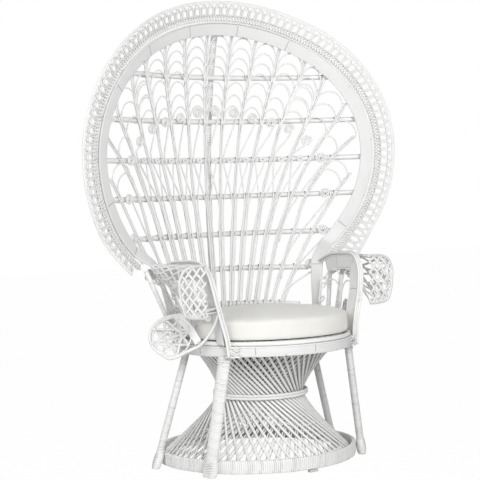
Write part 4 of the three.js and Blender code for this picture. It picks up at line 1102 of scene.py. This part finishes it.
for number, (x, z, root) in side_coils.items():
    for side in (-1, 1):
        rib = side * number
        stem = climb(rib, (root - 0.16, root - 0.05), side)
        grow(rib, coil_cane(side * x, z, large_radius, stem))
for side in (-1, 1):
    rib = side * 8
    stem = [beside(rib, 0.50, side * 0.006), beside(rib, 0.545, side * 0.009)]
    grow(rib, coil_cane(side * 0.311, 0.616, large_radius, stem))

for rib, shapes in sorted(leaves.items()):
    word = "centre" if rib == 0 else f"{'left' if rib < 0 else 'right'}_{abs(rib)}"
    piece(f"back_fan_{word}", shapes, fan_cane, [f"back_leaf_{word}"])


# %% [markdown]
# Where a rib crosses a bar, a split cane ties them: two loops round both, slanting opposite ways. A wound
# cane with tucked ends would look the same, so each loop is simply closed.

# %% Ties
tie_strip = rounded(0.0018, 0.0034, 6, 0.8)
tie_gap, tie_slant, tie_middle, tie_reach = 0.0012, 0.0052, 0.0222, 0.0138
tie_nail_aside, tie_nail_rise, tie_nail_depth = 0.0062, 0.0085, 0.0115


def tie(x, z, slant):
    """A closed loop round bar and rib: an ellipse seen from the side, sheared along the bar."""
    angle = np.linspace(0, 2 * math.pi, 17)[:-1]
    rise = (bar_radius + tie_gap) * np.sin(angle)
    depth = tie_middle - tie_reach * np.cos(angle)
    path = on_back(x + slant * tie_slant * np.sin(angle), z + rise, depth)[0]
    return path, unit(path - on_back(x, z, tie_middle)[0])


ties = []
for z, reach in zip(bar_heights, bar_reaches):
    for rib in [*range(-8, 0), *range(1, 9)]:
        x = float(rib_x(rib, z))
        if z > rib_lines[abs(rib) - 1][-1, 1] or abs(x) > reach:
            continue
        ties += [tie(x, z, slant) for slant in (-1, 1)]
        nails.append((x - tie_nail_aside, z + tie_nail_rise, tie_nail_depth))
tie_paths, tie_outs = (np.array(part) for part in zip(*ties))
piece("back_bar_ties", [sweep(tie_paths, tie_outs, tie_strip, True)], round_cane)


# %% [markdown]
# Small nails hold the crowns to the band and the canes to each other. Each is a dome of a few faces, which
# is enough for dots of this size.

# %% Nails
nail_radius, nail_rise = 0.0017, np.array([0.0, 0.0006, 0.0011, 0.0014])
nail_share = np.array([1.0, 0.95, 0.7, 0.3])
nail_shapes = []
for x, z, depth in nails:
    dome = nail_share[:, None, None] * circle(nail_radius)
    path = on_back(x, z, depth - nail_rise)[0]
    nail_shapes.append(sweep(path, [1.0, 0.0, 0.0], dome))
piece("back_nails", nail_shapes, nail_steel)


# %% [markdown]
# Under each end of the hoop two wrapped posts rise from the side of the seat band and lean outwards to it.
# They are straight poles wound like the legs, and a short cane joins their heads.

# %% Hoop posts
hoop_post_radius, hoop_post_gap, post_tie_radius, post_tie_share = 0.0075, 0.0115, 0.0045, 0.1
hoop_post_pitch, hoop_post_depth = 0.0066, 0.0009
hoop_post_places = [(94.5, (0.3829, 0.0190, 0.632)), (100.5, (0.3280, 0.0224, 0.604))]
for word, side in (("left", -1), ("right", 1)):
    shapes, tie_points = [], []
    for degrees, head in hoop_post_places:
        base = ring_place(side * degrees, seat_radius + hoop_post_gap, seat_bottom, seat_y)
        head = np.array(head) * [side, 1, 1]
        line, outline = np.linspace(base, head, 40), circle(hoop_post_radius, 12)
        shapes.append(wound(line, [0, 1, 0], outline, hoop_post_pitch, hoop_post_depth))
        tie_points.append(head + (base - head) * post_tie_share)
    shapes.append(sweep(smooth_line(tie_points, 16), [0, 1, 0], circle(post_tie_radius)))
    piece(f"hoop_posts_{word}_wound", shapes, wound_cane, [f"hoop_posts_{word}"], slot="wrapped_band")


# %% [markdown]
# The arms. Thin rods, three side by side and one inside them, rise from the front leg, lean out and turn
# back into the top rail. Their route was measured on the photograph, because no simple curve has this
# bend.

# %% Arm rails
arm_route = np.array([
    (0.2363, -0.2238, 0.3665), (0.240, -0.220, 0.415), (0.253, -0.215, 0.474), (0.268, -0.213, 0.535),
    (0.280, -0.204, 0.600), (0.286, -0.182, 0.640), (0.291, -0.150, 0.655), (0.299, -0.070, 0.655),
    (0.306, -0.005, 0.648), (0.312, 0.058, 0.627),
])
arm_line = smooth_line(arm_route, 90)
arm_along = unit(np.gradient(arm_line, axis=0))
arm_inward = unit(np.cross(arm_along, [1.0, 0.0, 0.0]))
rail_radius = 0.0036
rail_offsets = [(-0.0052, -0.001), (0.0022, 0.0), (0.0, 0.0072), (0.0074, -0.004)]
arm_rods = [sweep(arm_line + [side, 0, 0] + arm_inward * inward, arm_inward, circle(rail_radius))
            for side, inward in rail_offsets]
print("arm rods on each side", len(arm_rods))


# %% [markdown]
# Inside the rails lies a flat band, and below it two pairs of nested arches with a middle rib and coils.
# The panel isn't flat: its foot follows the round seat, and its head follows the rail. So it has a
# function of two numbers of its own, and its canes are drawn on that as the fan is drawn on the dish.

# %% Arm panel
arm_band_width, arm_band_thickness, arm_band_gap = 0.038, 0.006, 0.0105
arm_band_inset = arm_band_gap + arm_band_width / 2
arm_band_foot, beside_seat_height, beside_seat_gap = 0.4, 0.47, 0.0045
edge_rod_gap, edge_rod_foot, edge_rod_radius = 0.0025, 0.455, 0.0024
across_chair = [1.0, 0.0, 0.0]
band_line = (arm_line + arm_inward * arm_band_inset)[:-6]
band_line = band_line[band_line[:, 2] > arm_band_foot]
seat_side = np.sqrt((seat_radius + beside_seat_gap) ** 2 - (band_line[:, 1] - seat_y) ** 2)
beside_seat = np.where(band_line[:, 2] < beside_seat_height, seat_side, 0)
band_line[:, 0] = np.maximum(band_line[:, 0], beside_seat)
arm_band = sweep(band_line, across_chair, rounded(arm_band_thickness, arm_band_width, 20, 0.32))
edge_line = (arm_line + arm_inward * (arm_band_inset + arm_band_width / 2 + edge_rod_gap))[:-8]
edge_rod = sweep(edge_line[edge_line[:, 2] > edge_rod_foot], across_chair, circle(edge_rod_radius))

panel_foot, panel_low, panel_top, panel_seat_gap, panel_front_gap = 0.447, 0.432, 0.6065, 0.0025, 0.0095
wide_band_from, wide_band_room = 0.016, 0.0085
panel_arch_rise, panel_arch_leg, panel_arch_gap, panel_arch_radius = 0.05, 0.03, 0.003, 0.0024
panel_coil_turns, panel_coil_hole, panel_coil_radius = 2.2, 0.0045, 0.0021
panel_rib_foot, panel_rib_head, panel_rib_radius, panel_rib_half_pair = 0.433, 0.585, 0.0026, 0.0027
rib_wrap_head, rib_wrap_pitch, rib_wrap_depth = 0.47, 0.004, 0.0007
arch_side_gap, arch_crown_gaps = 0.005, (0.004, 0.04)
panel_line = band_line[band_line[:, 2] > panel_foot]
panel_line = panel_line[np.argsort(panel_line[:, 1])]


def on_panel(y, z):
    """The panel runs straight from the seat ring up to its band; its rear end passes inside the wide band."""
    low = np.sqrt(np.maximum((seat_radius + panel_seat_gap) ** 2 - (y - seat_y) ** 2, 0))
    high = np.interp(y, panel_line[:, 1], panel_line[:, 0])
    share = np.clip((z - panel_low) / (panel_top - panel_low), 0, 1)
    x, y, z = np.broadcast_arrays(low + (high - low) * share, y, z)
    inside = np.minimum(x, band_reach(z) - wide_band_room)
    return np.stack([np.where(y > wide_band_from, inside, x), y, z], -1)


def panel_cane(y, z, radius):
    """A round cane on the panel, through arrays of places."""
    return sweep(on_panel(y, z), across_chair, circle(radius))


def panel_arch(front, rear, crown):
    """A leg up, half an ellipse over and a leg down."""
    angle = np.linspace(0, math.pi, 20)
    spring = crown - panel_arch_rise
    over_y = (front + rear) / 2 - (rear - front) / 2 * np.cos(angle)
    over_z = spring + panel_arch_rise * np.sin(angle)
    leg_z = np.linspace(spring - panel_arch_leg, spring - panel_arch_gap, 5)
    y = np.concatenate([np.full(5, front), over_y, np.full(5, rear)])
    return panel_cane(y, np.concatenate([leg_z, over_z, leg_z[::-1]]), panel_arch_radius)


def panel_coil(y, z, radius, lean):
    """An even spiral inwards that starts at its rear, or at its front where the lean is -1."""
    t = np.linspace(0, 1, int(panel_coil_turns * 20))
    angle = 2 * math.pi * panel_coil_turns * t
    reach = radius - (radius - panel_coil_hole) * t
    return panel_cane(y + lean * reach * np.cos(angle), z + reach * np.sin(angle), panel_coil_radius)


panel_start = panel_line[0, 1] + panel_front_gap
panel_reach = panel_line[-1, 1] - panel_start
front_y, middle_y, rear_y = (panel_start + panel_reach * share for share in (0.06, 0.48, 1.03))
print("arm panel from", round(float(front_y), 3), "to", round(float(rear_y), 3))

rib_z = np.linspace(panel_rib_foot, panel_rib_head, 20)
wrap_z = np.linspace(panel_rib_foot, rib_wrap_head, 12)
panel_ribs = [panel_cane(np.full(20, middle_y + shift), rib_z, panel_rib_radius)
              for shift in (-panel_rib_half_pair, panel_rib_half_pair)]
rib_wrap_outline = rounded(0.008, 0.0125, 12, 0.6)
rib_wrap = wound(on_panel(np.full(12, middle_y), wrap_z), across_chair, rib_wrap_outline, rib_wrap_pitch,
                 rib_wrap_depth)
panel_arches = [panel_arch(front, rear, panel_top - gap)
                for front, rear in ((front_y, middle_y - arch_side_gap), (middle_y + arch_side_gap, rear_y))
                for gap in arch_crown_gaps]
panel_coil_places = [
    (front_y + 0.010, 0.487, 0.0135, 1),
    (rear_y - 0.006, 0.560, 0.012, -1),
    (rear_y - 0.004, 0.500, 0.0105, -1),
]
panel_coils = [panel_coil(*place) for place in panel_coil_places]
panel_shapes = [edge_rod, rib_wrap, *panel_ribs, *panel_arches, *panel_coils]


# %% [markdown]
# Outside the rails hangs a woven horn. Half its outline stands at the front, as shares of its width and
# height from the top inner corner, and it shrinks quickly towards a tip beside the end of the hoop. Flat
# canes cross on its surface and over its open face. A place on it is two shares, one round it and one
# back, so its canes crowd towards the tip as woven ones do.

# %% Arm horn
horn_profile = np.array([
    (0, 0), (0.5, 0.01), (0.84, 0.1), (1, 0.3), (0.985, 0.5), (0.92, 0.74), (0.74, 0.95), (0.3, 1), (0, 1),
])
horn_steps = 161
horn_line = smooth_line(horn_profile, horn_steps)
horn_front, horn_rear = -0.2208, 0.020
horn_inner_front, horn_inner_rear = 0.3075, 0.336
horn_width, horn_height, horn_top = 0.093, 0.156, 0.649
horn_taper, horn_flare = 0.8, 0.7
horn_strip, horn_rod, horn_rim = rounded(0.0026, 0.0078, 8, 0.8), circle(0.003), circle(0.0036)
horn_crossings, horn_turn, horn_weave, horn_rod_depth = 7, 0.5, 0.0014, 0.003
face_start, face_pitch, face_count = -0.2, 0.22, 7
face_slope, face_weave, face_depth = 0.74, 0.0015, 0.002


def on_horn(turn, along):
    """A place on the horn: a share of the way round it and a share of the way back."""
    turn, along = np.broadcast_arrays(turn, along)
    out, down = (np.interp(turn, np.linspace(0, 1, horn_steps), horn_line[:, axis]) for axis in (0, 1))
    size = 1 - horn_taper * along ** horn_flare
    x = horn_inner_front + (horn_inner_rear - horn_inner_front) * along + horn_width * size * out
    y = horn_front + (horn_rear - horn_front) * along
    return np.stack([x, y, horn_top - horn_height * size * down], -1)


def horn_cane(turn, along, outline, lift=0.0):
    """A cane on the horn; its way out is away from the horn's middle line."""
    turn, along = np.broadcast_arrays(turn, along)
    path = on_horn(turn, along)
    out = unit(path - (on_horn(0.0, along) + on_horn(1.0, along)) / 2)
    return sweep(path + out * np.broadcast_to(lift, turn.shape)[..., None], out, outline)


horn_shapes = [horn_cane(np.linspace(0, 1, 60), along, horn_rim) for along in (0.0, 0.035, 1.0)]
t = np.linspace(0, 1, 44)
for start in np.linspace(-horn_turn, 1, horn_crossings + 4):
    for lean in (1, -1):
        turn = start + horn_turn * (t if lean > 0 else 1 - t)
        keep = (turn >= 0) & (turn <= 1)
        if keep.sum() > 4:
            lift = horn_weave * lean * np.cos(math.pi * horn_crossings * t[keep])
            horn_shapes.append(horn_cane(turn[keep], t[keep], horn_strip, lift))
horn_rod_places = (0.0, 0.08, 0.3, 0.52, 0.74, 1.0)
for place in horn_rod_places:
    horn_shapes.append(horn_cane(place, np.linspace(0, 1, 30), horn_rod, -horn_rod_depth))

face_upper, face_lower = horn_profile[:4].T, horn_profile[:2:-1].T
for start in face_start + face_pitch * np.arange(face_count):
    for lean in (1, -1):
        out = np.linspace(0.01, 0.99, 90)
        down = start + lean * face_slope * (out - 0.5)
        inside = (down > np.interp(out, *face_upper)) & (down < np.interp(out, *face_lower))
        out, down = out[inside], down[inside]
        if len(out) < 8:
            continue
        weave = face_weave * lean * np.cos(math.pi * 2 * face_slope * (out - 0.5) / face_pitch)
        x, z = horn_inner_front + horn_width * out, horn_top - horn_height * down
        face_line = np.column_stack([x, horn_front + face_depth + weave, z])
        horn_shapes.append(sweep(even_line(face_line, 30), [0.0, 1.0, 0.0], horn_strip))
print("canes in a horn", len(horn_shapes))


# %% [markdown]
# Below the horn an oval ring faces outwards beside the seat. It is bent from two canes that leave the
# front rails, run back, and turn under again. In its rear half a shallow bowl is woven from flat canes:
# four through its hub, and eight more as a star. The four lie in layers a little apart, and the eight rise
# and fall over them, so that no cane has to be cut where it passes another.

# %% Side bowl
ring_middle = np.array([0.325, -0.0875, 0.428])
ring_facing_degrees, ring_tilt = 62.0, math.radians(-10.0)
ring_back = ring_place(ring_facing_degrees + 90, 1.0, 0.0, 0.0)
ring_out = ring_place(ring_facing_degrees, 1.0, 0.0, 0.0)
ring_up = np.array([0, 0, math.cos(ring_tilt)]) + ring_out * math.sin(ring_tilt)
ring_facing = np.cross(ring_back, ring_up)
ring_facing *= np.sign(ring_facing @ ring_out)
ring_length, ring_height = 0.232, 0.138
ring_front_points = [(0.0375, -0.038), (0.068, -0.024), (0.1, 0.0085), (0.122, 0.041)]
hub_back, bowl_reach, bowl_rise, bowl_depth = 0.040, 0.076, 0.062, 0.022
cross_strip, strap = rounded(0.0024, 0.0088, 8, 0.8), rounded(0.005, 0.026, 16, 0.4)
strip_reach_share, rim_reach_share, bowl_rim_radius = 0.97, 0.98, 0.0024
layer_step, star_lift, star_weave = 0.0016, 0.004, 0.0016
ring_rods = [
    (1.0, (0.2635, -0.2165, 0.522), (0.2625, -0.2185, 0.514), 0.0048),
    (0.92, (0.262, -0.2125, 0.508), (0.2600, -0.2165, 0.508), 0.0030),
]
strap_top_degrees, strap_steps = 78.0, [(-0.022, 0.03, -0.004), (-0.062, -0.016, 0.0)]


def on_ring(degrees, share=1.0):
    """A place on the oval; degrees run from its rear end upwards."""
    angle = np.radians(degrees)
    return (ring_middle + ring_back * (ring_length / 2 * share * np.cos(angle))[..., None]
            + ring_up * (ring_height / 2 * share * np.sin(angle))[..., None])


def ring_rod(share, high, low, radius):
    """Leaves the rails at one point, follows the oval round its rear end, and sweeps up to them again."""
    oval_part = on_ring(np.arange(105, -76, -20), share)
    rising = [ring_middle - ring_back * forward + [0, 0, rise * share] for forward, rise in ring_front_points]
    line = smooth_line(np.vstack([[high], oval_part, rising, [low]]), 120)
    return sweep(line, ring_facing, circle(radius, 10))


def bowl_cane(a, b, lift, outline, closed=False):
    """A cane in the bowl, through two shares of its reach; the bowl's floor is a parabola."""
    back, rise = (hub_back + bowl_reach * a)[:, None], (bowl_rise * b)[:, None]
    depth = (bowl_depth * (1 - a ** 2 - b ** 2) - lift)[:, None]
    path = ring_middle + ring_back * back + ring_up * rise - ring_facing * depth
    return sweep(path, ring_facing, outline, closed)


bowl_shapes = [ring_rod(*row) for row in ring_rods]
s = np.linspace(-1, 1, 26)
rim_angles = np.radians(22.5 + 45 * np.arange(8))
for number, angle in enumerate(rim_angles[:4]):
    a, b = strip_reach_share * s * math.cos(angle), strip_reach_share * s * math.sin(angle)
    bowl_shapes.append(bowl_cane(a, b, layer_step * (number - 1.5), cross_strip))
for first, second in zip(rim_angles, np.roll(rim_angles, -3)):
    a, b = (strip_reach_share * (way(first) * (1 - s) + way(second) * (1 + s)) / 2
            for way in (math.cos, math.sin))
    lift = star_lift + star_weave * np.cos(2.5 * math.pi * (s + 1))
    bowl_shapes.append(bowl_cane(a, b, lift, cross_strip))
strap_points = [ring_middle + ring_back * back + ring_up * rise + ring_facing * out
                for back, rise, out in strap_steps]
strap_line = smooth_line([on_ring(strap_top_degrees, strip_reach_share), *strap_points], 30)
bowl_shapes.append(sweep(strap_line, ring_facing, strap))
rim_turn = np.linspace(0, 2 * math.pi, 61)[:-1]
rim_a, rim_b = rim_reach_share * np.cos(rim_turn), rim_reach_share * np.sin(rim_turn)
bowl_shapes.append(bowl_cane(rim_a, rim_b, 0.0, circle(bowl_rim_radius), True))

arm_parts = [
    ("arm_rails", arm_rods, round_cane, "arm_rod", "white_cane"),
    ("arm_flat_band", [arm_band], flat_cane, "arm_panel", "wrapped_band"),
    ("arm_panel_canes", panel_shapes, round_cane, None, "white_cane"),
    ("arm_woven_horn", horn_shapes, fan_cane, "arm_roll", "white_cane"),
    ("arm_side_bowl", bowl_shapes, fan_cane, "arm_mouth", "white_cane"),
]
for word in ("left", "right"):
    for name, shapes, finish, node, slot in arm_parts:
        shapes = [mirrored(shape) for shape in shapes] if word == "left" else shapes
        piece(f"{name}_{word}", shapes, finish, [f"{node}_{word}"] if node else (), slot=slot)


# %% [markdown]
# The cushion is a round pad with an upright side: a profile turned about an upright axis. Its mesh is then
# evened out in small cells, because cloth swells badly on long thin faces.

# %% Cushion
cushion_low, cushion_high = (np.array(corner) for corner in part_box("seat_cushion"))
cushion_middle = (cushion_low + cushion_high) / 2
cushion_reach = (cushion_high - cushion_low) / 2
cushion_rise = cushion_high[2] - cushion_low[2]
profile_shares = smooth_line([
    (0.0, 0.0), (0.5, 0.0), (0.9, 0.0), (0.985, 0.008), (1.0, 0.04), (1.0, 0.2), (1.0, 0.45), (1.0, 0.62),
    (0.985, 0.685), (0.94, 0.725), (0.8, 0.8), (0.5, 0.91), (0.2, 0.98), (0.0, 1.0)], 70)
cushion_turns, cell_size = 96, 0.006


def cushion_mesh():
    """A profile turned about an upright axis; both ends of the profile close on one point."""
    angle = 2 * math.pi * np.arange(cushion_turns) / cushion_turns
    rows = profile_shares[1:-1]
    x = cushion_middle[0] + cushion_reach[0] * rows[:, :1] * np.sin(angle)
    y = cushion_middle[1] - cushion_reach[1] * rows[:, :1] * np.cos(angle)
    z = np.broadcast_to(cushion_low[2] + cushion_rise * rows[:, 1:], x.shape)
    ends = [[*cushion_middle[:2], height] for height in (cushion_low[2], cushion_high[2])]
    index = np.arange(x.size).reshape(x.shape)
    beside_index = np.roll(index, -1, 1)
    quads = np.stack([index[:-1], beside_index[:-1], beside_index[1:], index[1:]], -1).reshape(-1, 4)
    foot = np.stack([np.full(cushion_turns, x.size), beside_index[0], index[0]], -1)
    head = np.stack([np.full(cushion_turns, x.size + 1), index[-1], beside_index[-1]], -1)
    points = np.concatenate([np.stack([x, y, z], -1).reshape(-1, 3), ends])
    return points, [*quads.tolist(), *foot.tolist(), *head.tolist()]


def point_array(mesh):
    """Places of a mesh's points."""
    flat = np.empty(3 * len(mesh.vertices))
    mesh.vertices.foreach_get("co", flat)
    return flat.reshape(-1, 3)


def apply_modifiers(target):
    """Replaces an object's mesh by what its modifiers make of it."""
    evaluated = target.evaluated_get(bpy.context.evaluated_depsgraph_get())
    mesh = bpy.data.meshes.new_from_object(evaluated)
    target.modifiers.clear()
    target.data = mesh


cushion_points, cushion_faces = cushion_mesh()
cushion_data = bpy.data.meshes.new("cushion_pad")
cushion_data.from_pydata(cushion_points, [], cushion_faces)
cushion = bpy.data.objects.new("cushion_pad", cushion_data)
bpy.context.scene.collection.objects.link(cushion)
remesh = cushion.modifiers.new("even", "REMESH")
remesh.mode = "VOXEL"
remesh.voxel_size = cell_size
apply_modifiers(cushion)
print("cushion cells", len(cushion.data.vertices))


# %% [markdown]
# The pad swells as cloth under pressure, and is held within a few millimetres of where it began. It could
# be sculpted as full, but the pressure fills it evenly.

# %% Cushion swells
swell_cap, swell_frames, pressure = 0.003, 20, 4.0
start_points = point_array(cushion.data)
cloth = cushion.modifiers.new("swell", "CLOTH")
cloth.settings.use_pressure = True
cloth.settings.uniform_pressure_force = pressure
cloth.settings.quality = 5
cloth.settings.effector_weights.gravity = 0
cloth.point_cache.frame_start = 1
cloth.point_cache.frame_end = swell_frames
for frame_number in range(1, swell_frames + 1):
    bpy.context.scene.frame_set(frame_number)
apply_modifiers(cushion)
bpy.context.scene.frame_set(1)
moved = point_array(cushion.data) - start_points
size = np.linalg.norm(moved, axis=1, keepdims=True)
capped = start_points + moved * np.minimum(1, swell_cap / np.maximum(size, 1e-9))
cushion.data.vertices.foreach_set("co", capped.ravel())
print("cushion swelled", round(float(size.max()) * 1000, 1), "mm at most")


# %% [markdown]
# The swollen pad is fitted to the room that its solid holds: flat where it rests, and with the soft line
# where the top cloth is sewn to the side, which pulls a few small puckers after it. Waves round the pad
# place the puckers, so their depth and number are two values.

# %% Cushion seam
seam_height_share, seam_depth, seam_width = 0.66, 0.0022, 0.005
pucker_share, pucker_count, ripple_height, ripple_from_share = 0.45, 61, 0.003, 0.3
foot_height, foot_soft, foot_reach_share, foot_pull_share = 0.012, 0.004, 0.99, 0.85
side_from_share, side_over_share, edge_from_share, edge_over_share = 0.7, 0.2, 0.93, 0.03
points = point_array(cushion.data)
low, high = points.min(0), points.max(0)
points = cushion_low + (points - low) / (high - low) * (cushion_high - cushion_low)
centred = (points - cushion_middle)[:, :2] / cushion_reach[:2]
radial = np.linalg.norm(centred, axis=1)
angle = np.arctan2(centred[:, 1], centred[:, 0])
above_floor = points[:, 2] - cushion_low[2]
near_seam = np.exp(-((above_floor - seam_height_share * cushion_rise) / seam_width) ** 2)
on_side = np.clip((radial - side_from_share) / side_over_share, 0, 1)
pucker = 1 + pucker_share * np.sin(pucker_count * angle + 2.0 * np.sin(7 * angle))
inward = seam_depth * near_seam * on_side * pucker
waves = np.sin(9 * angle + 5 * radial) * np.sin(5 * angle - 11 * radial)
top_share = (above_floor > ripple_from_share * cushion_rise) * radial ** 2 * (1 - radial ** 2)
points[:, :2] -= (inward / np.maximum(radial, 0.1))[:, None] * centred
points[:, 2] += ripple_height * waves * top_share
above_floor = points[:, 2] - cushion_low[2]
foot_pull = foot_pull_share * np.clip((foot_height - above_floor) / foot_soft, 0, 1)
foot_pull *= np.clip((radial - edge_from_share) / edge_over_share, 0, 1)
foot_pull *= np.maximum(foot_reach_share - radial, 0) / radial
points[:, :2] += foot_pull[:, None] * (points[:, :2] - cushion_middle[:2])
points[:, 2] = np.maximum(points[:, 2], cushion_low[2])
cushion.data.vertices.foreach_set("co", points.ravel())
cushion.data.update()
finer = cushion.modifiers.new("finer", "SUBSURF")
finer.levels = finer.render_levels = 1
cushion.data.shade_smooth()
cushion.data.materials.clear()
cushion.data.materials.append(cushion_cloth)
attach(cushion, "cushion")
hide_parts("seat_cushion")
print("cushion points", len(points))


# %% [markdown]
# The solids that stay showing are the seat's deck, which gets a woven finish, and the two small feet. The
# deck lies under the cushion and the feet are plain blocks, so finer pieces would add little.

# %% Solids that stay
for name in ("seat_deck", "stub_foot_front", "stub_foot_rear"):
    for slot_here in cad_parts[name].material_slots:
        slot_here.material = deck_cane if name == "seat_deck" else wound_cane
    print(name, "stays")


# %% [markdown]
# The studio: a pale floor that goes white to the camera but keeps the chair's soft shadow, an even world
# light, and two large lamps. A white background alone would lose the shadow that sets the chair down. Pale
# surfaces stay below white, so their shapes can be read.

# %% Floor and light
floor_size, floor_white_share = 12.0, 0.985
lamp_target = [0.0, 0.0, 0.8]
lamps = [("key_lamp", (-1.1, -4.2, 2.4), 1.8, 125.0), ("fill_lamp", (-3.2, -0.6, 2.2), 2.4, 40.0)]


def floor_finish():
    """A pale floor that glows white where the camera looks at it straight."""
    finish = Finish("pale_floor")
    tone = finish.noise(finish.place(), 3.0)
    shader = finish.set(base_color=finish.mix(tone * 0.3, (0.9, 0.9, 0.9), (0.86, 0.86, 0.86)), roughness=0.8)
    camera_ray = finish.node("ShaderNodeLightPath", out="Is Camera Ray")
    glow = finish.node("ShaderNodeEmission", None, {"Color": (1.0, 1.0, 1.0), "Strength": 1.0})
    plain = Value(finish, finish.shader.outputs[0])
    mixed = finish.node("ShaderNodeMixShader", None, {0: camera_ray * floor_white_share, 1: plain, 2: glow})
    finish.tree.links.new(mixed.socket, finish.tree.nodes["Material Output"].inputs[0])
    return shader


floor_data = bpy.data.meshes.new("studio_floor")
floor_corners = [(x * floor_size, y * floor_size, 0) for x, y in ((-1, -1), (1, -1), (1, 1), (-1, 1))]
floor_data.from_pydata(floor_corners, [], [(0, 1, 2, 3)])
floor_data.materials.append(floor_finish())
studio_floor = bpy.data.objects.new("studio_floor", floor_data)
bpy.context.scene.collection.objects.link(studio_floor)

world = bpy.data.worlds.new("studio_world")
bpy.context.scene.world = world
world.use_nodes = True
world_nodes = world.node_tree
sky_light = world_nodes.nodes["Background"]
white_sky = world_nodes.nodes.new("ShaderNodeBackground")
for sky, strength in ((sky_light, 0.3), (white_sky, 1.0)):
    sky.inputs["Color"].default_value = (1.0, 1.0, 1.0, 1.0)
    sky.inputs["Strength"].default_value = strength
sky_ray = world_nodes.nodes.new("ShaderNodeLightPath")
sky_mix = world_nodes.nodes.new("ShaderNodeMixShader")
sky_parts = (sky_ray.outputs["Is Camera Ray"], sky_light.outputs[0], white_sky.outputs[0])
for number, socket in enumerate(sky_parts):
    world_nodes.links.new(socket, sky_mix.inputs[number])
world_nodes.links.new(sky_mix.outputs[0], world_nodes.nodes["World Output"].inputs[0])

for name, place, size, power in lamps:
    lamp_data = bpy.data.lights.new(name, "AREA")
    lamp_data.size = size
    lamp_data.energy = power
    lamp = bpy.data.objects.new(name, lamp_data)
    aim = unit(np.array(place) - lamp_target)
    side_way = unit(np.cross([0.0, 0.0, 1.0], aim))
    lamp_turn = np.column_stack([side_way, np.cross(aim, side_way), aim])
    lamp.matrix_world = Matrix.Translation(place) @ Matrix(lamp_turn.tolist()).to_4x4()
    bpy.context.scene.collection.objects.link(lamp)
print("lamps", len(lamps))

bpy.context.scene.view_settings.view_transform = "Standard"
